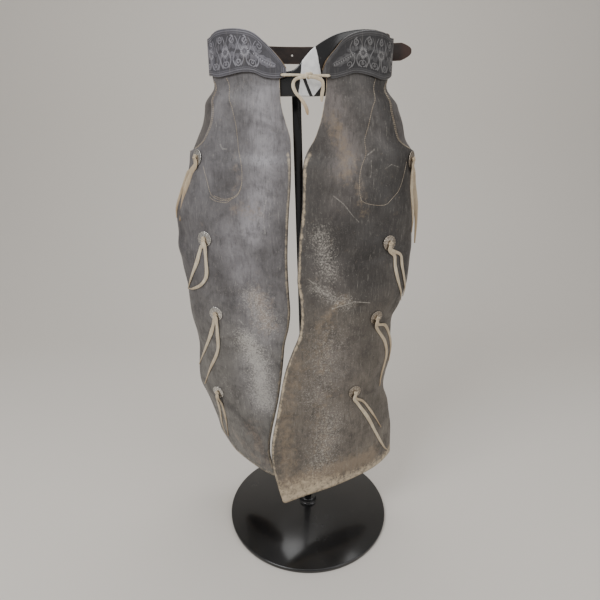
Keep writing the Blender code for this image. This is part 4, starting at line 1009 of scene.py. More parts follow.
def carving(across, up, tall, length, mirror):
    # the tooled picture over one yoke, 1 at its highest and 0 on the ground
    middle = 0.5 * tall[0]
    flip = -1.0 if mirror else 1.0
    ends = [float(np.interp(spot, across[0], middle)) for spot in (0.020, 0.064)]
    slope = math.atan2(ends[1] - ends[0], 0.044)
    picture = 0.95 * leafHeight(across, up, (0.016, ends[0] - 0.001), slope, 0.054, 0.0100)
    for k in range(10):                                      # a row of beads along the front leaf
        bead = (0.022 + 0.0044 * k * math.cos(slope), ends[0] - 0.001 + (0.004 + 0.0044 * k) * math.sin(slope))
        picture = np.maximum(picture, 1.25 * np.exp(-(np.hypot(across - bead[0], up - bead[1]) / 0.0016) ** 2))
    spot, number = 0.056, 0
    while spot < length - 0.006:
        side = flip * (1.0 if number % 2 == 0 else -1.0)
        level = float(np.interp(spot, across[0], middle))
        half = level - 0.0068
        swing = np.linspace(-1.0, 1.0, 26)
        stem = np.column_stack((spot + side * 0.0052 * np.sin(math.pi * swing), level + 0.80 * half * swing))
        picture = np.maximum(picture, stemHeight(across, up, stem, 0.0024))
        for end in (-1.0, 1.0):
            middleOf = (spot - end * side * 0.0058, level + end * 0.62 * half)
            scroll = scrollRun(middleOf, min(0.0062, 0.4 * half), end * math.pi / 2, end * side * 1.3)
            picture = np.maximum(picture, stemHeight(across, up, scroll, 0.0019))
            for turn, size in ((0.7, 0.014), (1.5, 0.012), (2.4, 0.014)):
                foot = (spot + 0.003 * math.cos(turn * end), level + end * 0.10 * half)
                leaf = leafHeight(across, up, foot, end * turn - side * 0.15 * number, size, 0.0038)
                picture = np.maximum(picture, 0.9 * leaf)
        if number % 3 == 1:
            flower = flowerHeight(across, up, (spot + 0.008, level), min(0.0115, 0.7 * half), 0.4 * number)
            picture = np.maximum(picture, flower)
        spot += 0.0142 + 0.0020 * math.sin(2.3 * number)
        number += 1
    return picture


def yokeLeather(side, body, shadow, shine):
    material, tree, shader = newMaterial("yokeLeather_" + side)
    place = placeOnObject(tree)
    grain = useGroup(tree, grainGroup, {"Vector": place, "Size": 0.0011})
    recess = attribute(tree, "recess")
    worn = ramp(tree, grain["Mottle"], 0.40, 0.66)
    colour = mixColour(tree, worn, body, shadow)
    # painted highlight: the shine colour laid on the raised carving and the border, brightest as glints on the
    # beads
    colour = tint(tree, colour, attribute(tree, "paintedHighlight"), 0.24, shine, True)
    # painted shade: near black laid down in the cut recesses and the border grooves
    colour = tint(tree, colour, recess, 0.72, (0.014, 0.013, 0.014))
    colour = tint(tree, colour, ramp(tree, grain["Streak"], 0.54, 0.74), 0.30, (0.330, 0.310, 0.290))
    coatShader(tree, shader, colour, plusPart(tree, 0.40, recess, 0.35), grain["Height"], 0.30, 0.0005)
    return material


# one leather in two painted copies: the right yoke painted lighter as if lit, the left darker as if in shade
carved = {"right": yokeLeather("right", (0.126, 0.123, 0.145), (0.084, 0.080, 0.093), (0.600, 0.590, 0.640)),
          "left": yokeLeather("left", (0.056, 0.054, 0.058), (0.036, 0.034, 0.036), (0.540, 0.525, 0.515))}
yokeBack = plainLeather("yokeBack", ((0.300, 0.215, 0.130), (0.200, 0.140, 0.085)), 0.0009, 0.9, 0.5)
yokeEdge = plainLeather("yokeEdge", ((0.030, 0.026, 0.026), (0.055, 0.042, 0.034)), 0.0008, 0.6)

for side in ("right", "left"):
    table = yokeTables[side]
    shares = np.linspace(0.0, 1.0, yoke["columns"])
    angles = table[0][0] + (table[-1][0] - table[0][0]) * shares ** 1.12
    edges = [readTable(yokeColumns, table, angle) for angle in angles]
    feet = np.array([waistSpace(side, angle, yoke["inner"], edge["low"]) for angle, edge in zip(angles, edges)])
    tall = np.array([edge["high"] - edge["low"] for edge in edges])
    length = runLengths(feet[:, :2])
    steps = np.linspace(0.0, 1.0, yoke["rows"])
    across = np.tile(length, (yoke["rows"], 1))
    up = steps[:, None] * tall[None, :]
    whole = np.tile(tall, (yoke["rows"], 1))
    places = np.repeat(feet[None, :, :], yoke["rows"], axis=0)
    places[..., 2] += up
    rim = np.minimum.reduce((up, whole - up, across))
    frameRim = np.minimum(rim, length[-1] - across)
    picture = carving(across, up, whole, length[-1], side == "left")
    field = smoothStep((frameRim - yoke["border"][1] - 0.0012) / 0.0012)
    matting = 0.16 * np.sin(across * 2 * math.pi / 0.0017) * np.sin(up * 2 * math.pi / 0.0019)
    bevel = np.exp(-((picture - 0.20) / 0.22) ** 2)          # cut deepest along the picture's outline
    ground = 0.34 - 0.34 * bevel + matting
    height = 1.0 - field * (1.0 - np.clip(np.where(picture > 0.42, picture, ground), 0.0, 1.0))
    for at in yoke["border"]:
        height = height - 0.95 * np.exp(-((frameRim - at) / yoke["groove"]) ** 2)
    angle, level = yoke["laceHoles"][side]
    hole = np.hypot(across - np.interp(angle, angles, length), up - level + np.interp(angle, angles, feet[:, 2]))
    height = height - smoothStep((0.0040 - hole) / 0.0010)   # sunk where the lace goes through
    roll = 1.0 - smoothStep(rim / 0.0022)
    lift = yoke["leather"] + yoke["depth"] * height - 0.0004 - 0.0016 * roll ** 2
    places = places + outwardNormals(places, side == "right") * lift[..., None]
    # recess is how deep each point lies in the cuts, and paints shade there
    fields = {"recess": np.clip(1.0 - height, 0.0, 1.0) ** 1.2 * (rim > 0.001),
              # painted highlights on the raised carving and the border, with bright painted glints on the beads
              "paintedHighlight": np.clip(height - 0.66, 0.0, 1.0) * field * 2.4 + 0.25 * (1.0 - field)
                       + 12.0 * np.clip(picture - 1.0, 0.0, 1.0) * field}
    flatMap = np.stack((across, up), axis=-1)
    piece = clothObject("tooled_yoke_" + side, places, side == "right", flatMap, fields,
                        (carved[side], yokeBack, yokeEdge), yoke["leather"] - 0.0004)
    finished(piece, "yoke_leather", "yoke_" + side)
    print("yoke", side, "%.3f m long" % length[-1])


# Conchos: turned discs with a scalloped rim and engraved petals

concho = {"radius": 0.0165, "height": 0.0034, "spokes": 96, "scallops": 16, "petals": 8}


def metalFinish(name, bright, tarnish, roughness, amount):
    material, tree, shader = newMaterial(name)
    place = placeOnObject(tree)
    clouds = noise(tree, place, 120.0, 6.0, 0.65)
    hollow = attribute(tree, "hollow")
    dirt = mathNode(tree, "MAXIMUM", hollow, times(tree, ramp(tree, clouds, 0.48, 0.68), amount))
    shader.inputs["Metallic"].default_value = 1.0
    coatShader(tree, shader, mixColour(tree, dirt, bright, tarnish), plusPart(tree, roughness, dirt, 0.28),
               noise(tree, place, 900.0, 3.0), 0.12, 0.0003)
    return material


silver = metalFinish("conchoSilver", (0.720, 0.700, 0.660), (0.120, 0.100, 0.085), 0.24, 0.35)
pewter = metalFinish("conchoPewter", (0.420, 0.370, 0.310), (0.090, 0.066, 0.048), 0.32, 0.55)
for name, (foot, normal) in conchoPlaces.items():
    turn = normal.to_track_quat("Z", "Y").to_matrix().to_4x4()
    matrix = Matrix.Translation(foot) @ turn
    reaches = np.concatenate(([0.0005], np.linspace(0.03, 0.97, 30), [1.0, 1.0, 0.97]))
    points, hollows = [], []
    for k, reach in enumerate(reaches):
        for step in range(concho["spokes"]):
            angle = 2 * math.pi * step / concho["spokes"]
            scallop = abs(math.cos(0.5 * concho["scallops"] * angle))
            petal = abs(math.cos(0.5 * concho["petals"] * angle))
            edge = concho["radius"] * (0.965 + 0.035 * scallop ** 0.5)
            dome = concho["height"] * (0.36 + 0.56 * (1 - reach ** 2))
            hollow = 0.0
            if reach > 0.80:
                dome += 0.0003 * scallop
                hollow = 0.6 * (1 - scallop) * (reach < 0.98)
            ring = math.exp(-((reach - 0.80) / 0.022) ** 2) + math.exp(-((reach - 0.30) / 0.022) ** 2)
            engraved = math.exp(-((petal - 0.04) / 0.20) ** 2) if 0.34 < reach < 0.76 else 0.0
            veins = 0.45 * (math.sin(5 * concho["petals"] * angle) > 0.75) if 0.44 < reach < 0.70 else 0.0
            cut = max(ring, engraved, veins)
            dome -= 0.00042 * cut
            hollow = max(hollow, 0.9 * cut)
            if k >= len(reaches) - 2:
                dome = 0.0 if k == len(reaches) - 1 else 0.0006
            points.append(matrix @ Vector((edge * reach * math.cos(angle), edge * reach * math.sin(angle), dome)))
            hollows.append(min(1.0, hollow))
    points += [matrix @ Vector((0, 0, concho["height"] * 0.92)), matrix @ Vector((0, 0, 0))]
    hollows += [0.3, 0.0]
    faces = []
    spokes = concho["spokes"]
    for k in range(len(reaches) - 1):
        for step in range(spokes):
            ahead = (step + 1) % spokes
            faces.append((k * spokes + step, (k + 1) * spokes + step, (k + 1) * spokes + ahead, k * spokes + ahead))
    for step in range(spokes):
        ahead = (step + 1) % spokes
        faces.append((len(points) - 2, step, ahead))
        faces.append((len(points) - 1, (len(reaches) - 1) * spokes + ahead, (len(reaches) - 1) * spokes + step))
    mesh = closedMesh("disc_" + name, points, faces, "hollow", hollows)
    finished(standing("disc_" + name, mesh, silver if "right" in name else pewter), "concho_metal", name)
print("conchos turned")


# Thongs: soft strips that bend over whatever they lie on, and the knots that hold them

def thongLeather():
    material, tree, shader = newMaterial("thongLeather")
    place = placeOnObject(tree)
    grain = useGroup(tree, grainGroup, {"Vector": place, "Size": 0.0009})
    aged = attribute(tree, "aged")
    colour = mixColour(tree, aged, (0.720, 0.640, 0.490), (0.380, 0.245, 0.125))
    colour = tint(tree, colour, ramp(tree, grain["Mottle"], 0.40, 0.68), 0.45, (0.400, 0.290, 0.170))
    colour = tint(tree, colour, ramp(tree, grain["Streak"], 0.62, 0.44), 0.25, (0.230, 0.150, 0.085))
    coatShader(tree, shader, colour, plusPart(tree, 0.74, grain["Mottle"], 0.2), grain["Height"], 0.5, 0.0006)
    return material


thong = thongLeather()
thongShape = {
    "thick": 0.0018, "knot": (0.0044, 0.0040, 0.0015), "thread": 0.00185, "knotLift": 0.0026,
    "laceThick": 0.0019, "laceKnot": (0.0058, 0.0046, 0.0020), "laceThread": 0.0021,
    "apart": 0.0030, "leave": (0.0012, 0.015), "lift": 0.0010, "under": 0.0004, "points": 14,
}


def tubeFaces(count, around, closed=False):
    # quads between rings of points, and a face on each end of an open tube
    faces = []
    for k in range(count if closed else count - 1):
        after = (k + 1) % count
        for j in range(around):
            ahead = (j + 1) % around
            faces.append((k * around + j, k * around + ahead, after * around + ahead, after * around + j))
    if not closed:
        faces.append(tuple(range(around - 1, -1, -1)))
        faces.append(tuple((count - 1) * around + j for j in range(around)))
    return faces


def stripMesh(path, faces, widths, thick, aged):
    # a rounded strip: ten points round, swept along the path with its face kept outwards
    points, ages = [], []
    path = [Vector(place) for place in path]
    count = len(path)
    turnsRound = np.linspace(0.0, 2 * math.pi, 11)[:-1]
    for k, place in enumerate(path):
        along = (path[min(k + 1, count - 1)] - path[max(k - 1, 0)]).normalized()
        face = Vector(faces[k]).normalized()
        across = along.cross(face).normalized()
        face = across.cross(along).normalized()
        half = widths[k] / 2
        for angle in turnsRound:
            c, s = math.cos(angle), math.sin(angle)
            square = 1.0 / max(abs(c) ** 3 + abs(s) ** 3, 0.2) ** (1 / 3)
            points.append(place + across * half * c * square + face * thick / 2 * (1.0 + s * square))
            ages.append(aged[k])
    return points, tubeFaces(count, len(turnsRound)), ages


def knotMesh(middle, normal, size, thread, aged, tilt=0.0):
    # one thong turned through itself
    points, ages = [], []
    turn = Vector(normal).to_track_quat("Z", "Y").to_matrix() @ Matrix.Rotation(tilt, 3, "Z")
    shares = np.linspace(0.0, 2 * math.pi, 73)[:-1]
    run = [Vector(((math.sin(t) + 2 * math.sin(2 * t)) / 3 * size[0],
                   (math.cos(t) - 2 * math.cos(2 * t)) / 3 * size[1], -math.sin(3 * t) * size[2])) for t in shares]
    count = len(run)
    for k, place in enumerate(run):
        along = (run[(k + 1) % count] - run[k - 1]).normalized()
        across = along.cross(Vector((0, 0, 1))).normalized()
        face = across.cross(along)
        for angle in np.linspace(0.0, 2 * math.pi, 9)[:-1]:
            points.append(Vector(middle) + turn @ (place + across * thread * 1.15 * math.cos(angle)
                                                   + face * thread * 0.85 * math.sin(angle)))
            ages.append(aged)
    return points, tubeFaces(count, 8, True), ages


def thongPiece(name, parts, nodeName):
    points, faces, ages = [], [], []
    for more, quads, old in parts:
        first = len(points)
        points += more
        faces += [tuple(first + index for index in quad) for quad in quads]
        ages += old
    mesh = closedMesh(name, points, faces, "aged", ages)
    return finished(standing(name, mesh, thong), "thong_leather", nodeName)


strands = inMetres({
    "right": (
        (((922, 44), (874, 36), (818, 30)),
         ((927, 38), (914, 16), (850, 6), (822, 10))),
        (((766, 102), (730, 82), (690, 52), (652, 8)),
         ((740, 110), (702, 102), (678, 80), (662, 46), (656, 22))),
        (((578, 94), (550, 78), (502, 46), (442, 10)),
         ((556, 100), (510, 90), (450, 66), (394, 46))),
        (((346, 78), (300, 64), (240, 54), (192, 60)),
         ((340, 92), (280, 84), (205, 80))),
    ),
    "left": (
        (((915, 4), (862, -4), (818, -6), (762, -6)),
         ((915, 26), (880, 22), (830, 18), (790, 16))),
        (((748, 92), (722, 84), (686, 66), (652, 40), (622, 6)),
         ((748, 74), (722, 62), (690, 44), (660, 24), (634, 10))),
        (((570, 82), (530, 52), (490, 44), (438, 48), (402, 40)),
         ((572, 52), (532, 20), (500, 12), (466, 20))),
        (((378, 116), (330, 98), (270, 74), (206, 42), (182, 22)),
         ((378, 98), (330, 78), (282, 56))),
    ),
})
strandLooks = {
    # width, age, and how far each strand is turned to face forward
    "right": (((0.0100, 0.45, 0.8), (0.0080, 0.35, 0.9)), ((0.0084, 0.00, 0.3), (0.0080, 0.05, 0.2)),
              ((0.0088, 0.00, 0.3), (0.0082, 0.08, 0.2)), ((0.0070, 0.05, 0.4), (0.0064, 0.25, 0.4))),
    "left": (((0.0118, 0.40, 1.0), (0.0074, 0.15, 0.8)), ((0.0080, 0.02, 0.3), (0.0076, 0.08, 0.2)),
             ((0.0084, 0.32, 0.3), (0.0074, 0.28, 0.4)), ((0.0086, 0.05, 0.2), (0.0060, 0.35, 0.2))),
}
for side in ("right", "left"):
    for number in range(1, 5):
        foot, normal = conchoPlaces["concho_%s_%d" % (side, number)]
        middle = foot + normal * (concho["height"] + thongShape["knotLift"])
        outward = normal.cross(Vector((0, 0, -1))).normalized() * sideSign(side)
        pair = strands[side][number - 1]
        parts = [knotMesh(middle, normal, thongShape["knot"], thongShape["thread"], 0.25, 0.5 * number)]
        reaches = []
        for index, strand in enumerate(pair):
            other = pair[1 - index]
            beside = outward * thongShape["apart"] * (1 if strand[0][1] < other[0][1] else -1)
            width, age, forward = strandLooks[side][number - 1][index]
            above, below = thongShape["leave"]
            rim = foot + normal * (concho["height"] + above) + beside * 0.9 - Vector((0, 0, below))
            spots = [middle + beside * 0.3, rim]
            faces = [normal, normal]
            for level, inset in strand:
                spot, face = surfacePoint(side, level, inset, thongShape["lift"] + thongShape["under"] * index)
                spots.append(Vector(spot))
                faces.append(Vector(face).lerp(Vector((0, -1, 0)), forward).normalized())
            count = thongShape["points"] * (len(spots) - 1) + 1
            path = smoothPath(spots, count)
            reaches.append(1000 * runLengths(path)[-1])
            turnedFaces = []
            for share in np.linspace(0.0, len(spots) - 1.0, count):
                k = min(int(share), len(spots) - 2)
                turnedFaces.append(faces[k].lerp(faces[k + 1], share - k))
            far = np.linspace(0.0, 1.0, count)
            widths = width * (0.55 + 0.45 * smoothStep(far / 0.15)) * (1.0 - 0.72 * smoothStep((far - 0.62) / 0.38))
            widths = widths * (1.0 + 0.10 * np.sin(far * 21.0 + number + 2 * index))
            ages = np.clip(age + 0.35 * smoothStep((far - 0.55) / 0.45), 0.0, 1.0).tolist()
            parts.append(stripMesh(path, turnedFaces, widths, thongShape["thick"], ages))
        thongPiece("tie_thong_%s_%d" % (side, number), parts, "tie_%s_%d" % (side, number))
        print("tie", side, number, "strands %.0f and %.0f mm" % tuple(reaches))
print("tie thongs knotted")

lace = {
    "behind": {"right": 0.0014, "left": -0.0016},
    "knot": (-0.0058, -0.1105, 1.1000), "width": 0.0062, "outside": 0.0073,
}
laceEnds = (
    ((-0.0131, -0.1130, 1.0975), (-0.0300, -0.1140, 1.0930), (-0.0350, -0.1145, 1.0830),
     (-0.0300, -0.1150, 1.0700), (-0.0205, -0.1150, 1.0600), (-0.0110, -0.1150, 1.0450),
     (-0.0076, -0.1150, 1.0320)),
    ((-0.0010, -0.1130, 1.0970), (0.0105, -0.1145, 1.0945), (0.0190, -0.1155, 1.0890),
     (0.0200, -0.1160, 1.0780), (0.0185, -0.1160, 1.0670), (0.0182, -0.1160, 1.0550)),
)
knotAt = Vector(lace["knot"])
parts = [knotMesh(knotAt, (0, -1, 0.1), thongShape["laceKnot"], thongShape["laceThread"], 0.05)]
for side in ("right", "left"):
    angle, height = yoke["laceHoles"][side]
    behind = Vector(waistSpace(side, angle, lace["behind"][side], height))
    through = Vector(waistSpace(side, angle, lace["outside"] + 0.0004, height))
    out = Vector(waistSpace(side, angle, lace["outside"] + 0.0022, height))
    toward = (knotAt - out).normalized()
    path = smoothPath([behind, through, out + toward * 0.0022, out + toward * 0.010, knotAt], 30)
    widths = np.interp(np.linspace(0, 1, 30), (0.0, 0.35, 0.6, 1.0), (0.0034, 0.0036, 0.0056, 0.0040))
    parts.append(stripMesh(path, [(0.0, -1.0, 0.15)] * 30, widths, thongShape["laceThick"], [0.05] * 30))
for number, end in enumerate(laceEnds):
    path = smoothPath([knotAt] + [Vector(place) for place in end], 70)
    print("lace end", number + 1, "%.0f mm from the knot" % (1000 * runLengths(path)[-1]))
    far = np.linspace(0.0, 1.0, 70)
    widths = lace["width"] * (0.7 + 0.3 * smoothStep(far / 0.12)) * (1.0 - 0.45 * smoothStep((far - 0.93) / 0.07))
    widths = widths * (1.0 + 0.08 * np.sin(far * 17.0 + number))
    ages = (0.05 + (0.75 if number == 0 else 0.25) * smoothStep((far - 0.55) / 0.45)).tolist()
    parts.append(stripMesh(path, [(0.0, -1.0, 0.0)] * 70, widths, thongShape["laceThick"], ages))
thongPiece("front_thong", parts, "front_lace")
print("front lace tied")


# The belt behind: a plain strap with punched holes, its buckle at the wearer's left hip

belt = {
    "middle": 1.167, "width": 0.034, "thick": 0.0030, "inner": -0.0003, "start": 70.0, "leaves": 155.0,
    "run": 0.166, "point": 0.022, "holeRadius": 0.0022, "holes": (0.046, 0.071, 0.121, 0.146, 0.261),
    "billet": (70.0, 129.0), "buckle": 0.096, "bar": 0.0020, "halfLength": 0.014, "slit": 0.0008,
    "tongue": 0.0013, "slot": (0.0045, 0.0022), "seam": 0.0004, "rows": 15,
    "softEdge": 0.0006,
}


def strapLine():
    places = [waistSpace("right", angle, belt["inner"], belt["middle"])
              for angle in np.linspace(belt["start"], 180.0, 90)[:-1]]
    places += [waistSpace("left", angle, belt["inner"], belt["middle"])
               for angle in np.linspace(180.0, belt["leaves"], 22)]
    heading = (places[-1] - places[-2]) / np.linalg.norm(places[-1] - places[-2])
    leaving = places[-1].copy()
    straight = np.linspace(0.0, belt["run"] - belt["point"], 60)[1:]
    tip = belt["run"] - belt["point"] * (1.0 - np.sin(np.linspace(0.0, math.pi / 2, 22)[1:]))
    return np.array(places + [leaving + heading * run for run in np.concatenate((straight, tip))])


def strapLeather():
    material, tree, shader = newMaterial("strapLeather")
    place = placeOnObject(tree)
    grain = useGroup(tree, grainGroup, {"Vector": place, "Size": 0.0011})
    colour = mixColour(tree, ramp(tree, grain["Mottle"], 0.36, 0.66), (0.032, 0.021, 0.017), (0.015, 0.010, 0.009))
    colour = tint(tree, colour, attribute(tree, "brink"), 0.6, (0.068, 0.038, 0.026))
    colour = tint(tree, colour, attribute(tree, "tip"), 0.7, (0.050, 0.024, 0.017))
    shader.inputs["Specular IOR Level"].default_value = 0.35
    coatShader(tree, shader, colour, plusPart(tree, 0.46, grain["Mottle"], 0.22), grain["Height"], 0.3, 0.0005)
    return material


darkStrap = strapLeather()
strapEdge = plainLeather("strapEdge", ((0.042, 0.026, 0.020), (0.022, 0.015, 0.012)), 0.0008, 0.55)


def strapPiece(name, line, halves, flip, cutters, *nodeNames):
    steps = np.sin(np.linspace(-math.pi / 2, math.pi / 2, belt["rows"]))
    up = steps[:, None] * halves[None, :]
    places = np.repeat(line[None, :, :], belt["rows"], axis=0)
    places[..., 2] += up
    length = runLengths(line)
    across = np.tile(length, (belt["rows"], 1))
    brink = np.exp(-((halves[None, :] - np.abs(up)) / 0.0018) ** 2)
    fields = {"brink": brink, "tip": smoothStep((across - length[-1] + 0.030) / 0.02) * (name == "belt_strap_worn")}
    piece = clothObject(name, places, flip, np.stack((across, up), axis=-1), fields,
                        (darkStrap, darkStrap, strapEdge), belt["thick"], 1.0)
    softEdges(piece, belt["softEdge"], 2)
    for cutter in cutters:
        punch = piece.modifiers.new("punch", "BOOLEAN")
        punch.operation = "DIFFERENCE"
        punch.object = cutter
    if cutters:
        settle(piece)
        for cutter in cutters:
            bpy.data.objects.remove(cutter)
    return finished(piece, "strap_leather", *nodeNames)


def punchRod(middle, outward, radius, stretch=None):
    work = bmesh.new()
    turn = Vector(outward).to_track_quat("Z", "Y").to_matrix().to_4x4()
    bmesh.ops.create_cone(work, cap_ends=True, segments=28, radius1=radius, radius2=radius, depth=0.02)
    if stretch:
        heading, sizes = stretch
        across = Vector((0, 0, 1))
        axes = Matrix((heading, across, Vector(outward))).transposed().to_4x4()
        matrix = Matrix.Translation(Vector(middle)) @ axes @ Matrix.Diagonal((*sizes, 1.0, 1.0))
    else:
        matrix = Matrix.Translation(Vector(middle)) @ turn
    bmesh.ops.transform(work, matrix=matrix, verts=work.verts)
    rod = bpy.data.objects.new("punch", meshFrom(work, "punch"))
    scene.collection.objects.link(rod)
    return rod


line = strapLine()
lengths = runLengths(line)
toEnd = lengths[-1] - lengths
halves = belt["width"] / 2 * (0.08 + 0.92 * np.sqrt(np.clip(toEnd / belt["point"], 0.0, 1.0)))


def strapStation(back):
    at = lengths[-1] - back
    middle = np.array([np.interp(at, lengths, line[:, axis]) for axis in range(3)])
    ahead = np.array([np.interp(at + 0.002, lengths, line[:, axis]) for axis in range(3)])
    heading = Vector(ahead - middle).normalized()
    return Vector(middle), heading, Vector((-heading.y, heading.x, 0.0))


rods = []
for back in belt["holes"]:
    middle, heading, outward = strapStation(back)
    rods.append(punchRod(middle, outward, belt["holeRadius"]))
middle, heading, outward = strapStation(belt["buckle"])
rods.append(punchRod(middle, outward, 1.0, (heading, belt["slot"])))
strapPiece("belt_strap_worn", line, halves, False, rods, "belt_strap")
short = np.array([waistSpace("left", angle, belt["inner"], belt["middle"])
                  for angle in np.linspace(*belt["billet"], 60)])
strapPiece("buckle_strap_worn", short, np.full(60, belt["width"] / 2), True, [], "buckle_strap")


def wireMesh(name, run, radius, closed, nodeName, taper=None):
    # a bent metal wire
    points = []
    run = [Vector(place) for place in run]
    count = len(run)
    side = None
    for k, place in enumerate(run):
        if closed:
            along = (run[(k + 1) % count] - run[k - 1]).normalized()
        else:
            along = (run[min(k + 1, count - 1)] - run[max(k - 1, 0)]).normalized()
        if side is None:
            side = along.orthogonal().normalized()
        side = (side - along * side.dot(along)).normalized()
        other = along.cross(side)
        size = radius * (taper[k] if taper is not None else 1.0)
        for angle in np.linspace(0.0, 2 * math.pi, 17)[:-1]:
            points.append(place + side * size * math.cos(angle) + other * size * math.sin(angle))
    mesh = closedMesh(name, points, tubeFaces(count, 16, closed), "hollow", [0.0] * len(points))
    return finished(standing(name, mesh, buckleSteel), "buckle_metal", nodeName)


buckleSteel = metalFinish("buckleSteel", (0.480, 0.460, 0.430), (0.130, 0.105, 0.085), 0.30, 0.45)
centre = middle + outward * belt["thick"] / 2
lift = belt["thick"] / 2 + belt["slit"] + belt["bar"]
half = belt["width"] / 2 + belt["slit"] + belt["bar"]
long = belt["halfLength"]
corner = 0.004
third = corner / 3
loop = [(-long, lift, -half + corner), (-long, lift, half - corner), (-long + third, lift * 0.9, half - third),
        (-long + corner, lift * 0.7, half), (long - corner, -lift * 0.7, half),
        (long - third, -lift * 0.9, half - third), (long, -lift, half - corner),
        (long, -lift, -half + corner), (long - third, -lift * 0.9, -half + third),
        (long - corner, -lift * 0.7, -half), (-long + corner, lift * 0.7, -half),
        (-long + third, lift * 0.9, -half + third)]


def onBuckle(along, out, up):
    return centre + heading * along + outward * out + Vector((0.0, 0.0, up))


def rounded(points, times):
    # a closed run whose corners are cut again and again until they run round
    for _ in range(times):
        cut = []
        for a, b in zip(points, points[1:] + points[:1]):
            cut += [a.lerp(b, 0.25), a.lerp(b, 0.75)]
        points = cut
    return points


wireMesh("buckle_frame_bent", rounded([onBuckle(*point) for point in loop], 2), belt["bar"], True, "buckle_frame")
heel = long - belt["bar"] - belt["seam"] - belt["tongue"]
rest = lift + belt["bar"] + belt["seam"] + belt["tongue"]
pin = ((heel, -lift, 0), (0.006, -lift * 0.92, 0), (0.0005, -0.0004, 0), (-0.005, lift * 0.85, 0), (-long, rest, 0),
       (-long - 0.005, rest, 0))
pin = smoothPath([onBuckle(*point) for point in pin], 48)
far = np.linspace(0.0, 1.0, 48)
wireMesh("buckle_tongue_bent", pin, belt["tongue"], False, "buckle_tongue",
         1.0 - 0.45 * smoothStep((far - 0.88) / 0.12))
print("belt and buckle made")


# The stand: a turned base, a square post and bar, and the hip form inside the waist

stand = {
    "baseRadius": 0.216, "rim": 0.010, "dome": 0.030, "bossRadius": 0.024, "bossTop": 0.044,
    "postSide": 0.019, "postTopX": -0.030, "gap": 0.0005, "barLow": 1.084, "barSide": 0.020,
    "formOuter": -0.0047, "formWall": 0.008, "formSeat": 0.0016,
}


def standPaint(name, withReflection=False):
    material, tree, shader = newMaterial(name)
    place = placeOnObject(tree)
    nicks = useGroup(tree, nickGroup, {"Vector": place, "Amount": 0.55})
    colour = mixColour(tree, nicks["Mask"], (0.0065, 0.0065, 0.0070), (0.130, 0.120, 0.110))
    colour = tint(tree, colour, nicks["Haze"], 0.25, (0.030, 0.029, 0.029))
    rough = plusPart(tree, 0.16, nicks["Haze"], 0.14)
    if withReflection:
        # the painted reflection of a white light panel on the glossy form: past one slanted line, short of another,
        # with a dark strap through its foot
        axes = addNode(tree, "SeparateXYZ", {0: place}).outputs
        wave = times(tree, mathNode(tree, "SUBTRACT", noise(tree, place, 60.0), 0.5), 0.004)
        x = mathNode(tree, "ADD", axes[0], wave)

        def sideOf(atTop, slant):
            # above zero on the +X side of a line through atTop at 1.10 m
            run = times(tree, mathNode(tree, "SUBTRACT", axes[2], 1.10), slant)
            return mathNode(tree, "SUBTRACT", x, mathNode(tree, "ADD", run, atTop))

        white = times(tree, ramp(tree, sideOf(-0.0215, 0.12), -0.0005, 0.0005),
                      ramp(tree, sideOf(0.0185, -0.24), 0.0006, -0.0006))
        corner = mathNode(tree, "MAXIMUM", ramp(tree, sideOf(0.0320, 0.85), 0.0006, -0.0006),
                          ramp(tree, axes[2], 1.084, 1.086))
        white = times(tree, times(tree, white, corner), ramp(tree, axes[1], 0.0, -0.01))
        slot = times(tree, ramp(tree, sideOf(-0.0190, -0.45), -0.0005, 0.0005),
                     ramp(tree, sideOf(-0.0125, -0.45), 0.0005, -0.0005))
        slot = times(tree, slot, ramp(tree, axes[2], 1.100, 1.098))
        band = times(tree, ramp(tree, axes[2], 1.0985, 1.0995), ramp(tree, axes[2], 1.1045, 1.1035))
        slot = mathNode(tree, "MAXIMUM", slot, band)
        white = times(tree, white, mathNode(tree, "SUBTRACT", 1.0, slot))
        reflectedPanel = mixColour(tree, ramp(tree, noise(tree, place, 90.0), 0.35, 0.7), (0.830, 0.830, 0.830),
                          (0.680, 0.680, 0.690))
        colour = mixColour(tree, white, colour, reflectedPanel)
        rough = plusPart(tree, rough, white, 0.45)
    shader.inputs["Coat Weight"].default_value = 0.35
    shader.inputs["Coat Roughness"].default_value = 0.12
    coatShader(tree, shader, colour, rough, noise(tree, place, 220.0, 3.0), 0.05, 0.0004)
    return material


paint = standPaint("standPaint")


def bevelled(name, work, width, segments, material, nodeName):
    piece = standing(name, meshFrom(work, name), material)
    softEdges(piece, width, segments)
    return finished(piece, "stand_paint", nodeName)


profile = [(0.0, stand["bossTop"]), (stand["bossRadius"] - 0.002, stand["bossTop"])]
profile += [(stand["bossRadius"] - 0.002 + 0.002 * math.sin(t), stand["bossTop"] - 0.002 + 0.002 * math.cos(t))
            for t in np.linspace(0.3, math.pi / 2, 4)]
profile += [(stand["bossRadius"], stand["dome"] + 0.001), (stand["bossRadius"] + 0.0012, stand["dome"])]
for share in np.linspace(0.03, 1.0, 34):
    reach = stand["bossRadius"] + (stand["baseRadius"] - 0.003 - stand["bossRadius"]) * share
    profile.append((reach, stand["rim"] + (stand["dome"] - stand["rim"]) * (1.0 - share ** 1.8)))
profile += [(stand["baseRadius"] - 0.003 + 0.003 * math.sin(t), stand["rim"] - 0.003 + 0.003 * math.cos(t))
            for t in np.linspace(0.35, math.pi / 2, 5)]
profile += [(stand["baseRadius"], 0.002), (stand["baseRadius"] - 0.0006, 0.0006),
            (stand["baseRadius"] - 0.002, 0.0), (0.0, 0.0)]
work = bmesh.new()
rim = [work.verts.new((x, 0.0, z)) for x, z in profile]
edges = [work.edges.new(pair) for pair in zip(rim, rim[1:])]
bmesh.ops.spin(work, geom=rim + edges, cent=(0, 0, 0), axis=(0, 0, 1), angle=2 * math.pi, steps=160)
bmesh.ops.remove_doubles(work, verts=work.verts, dist=1e-5)
bmesh.ops.recalc_face_normals(work, faces=work.faces)
finished(standing("base_disc", meshFrom(work, "base_disc"), paint), "stand_paint", "stand_base")

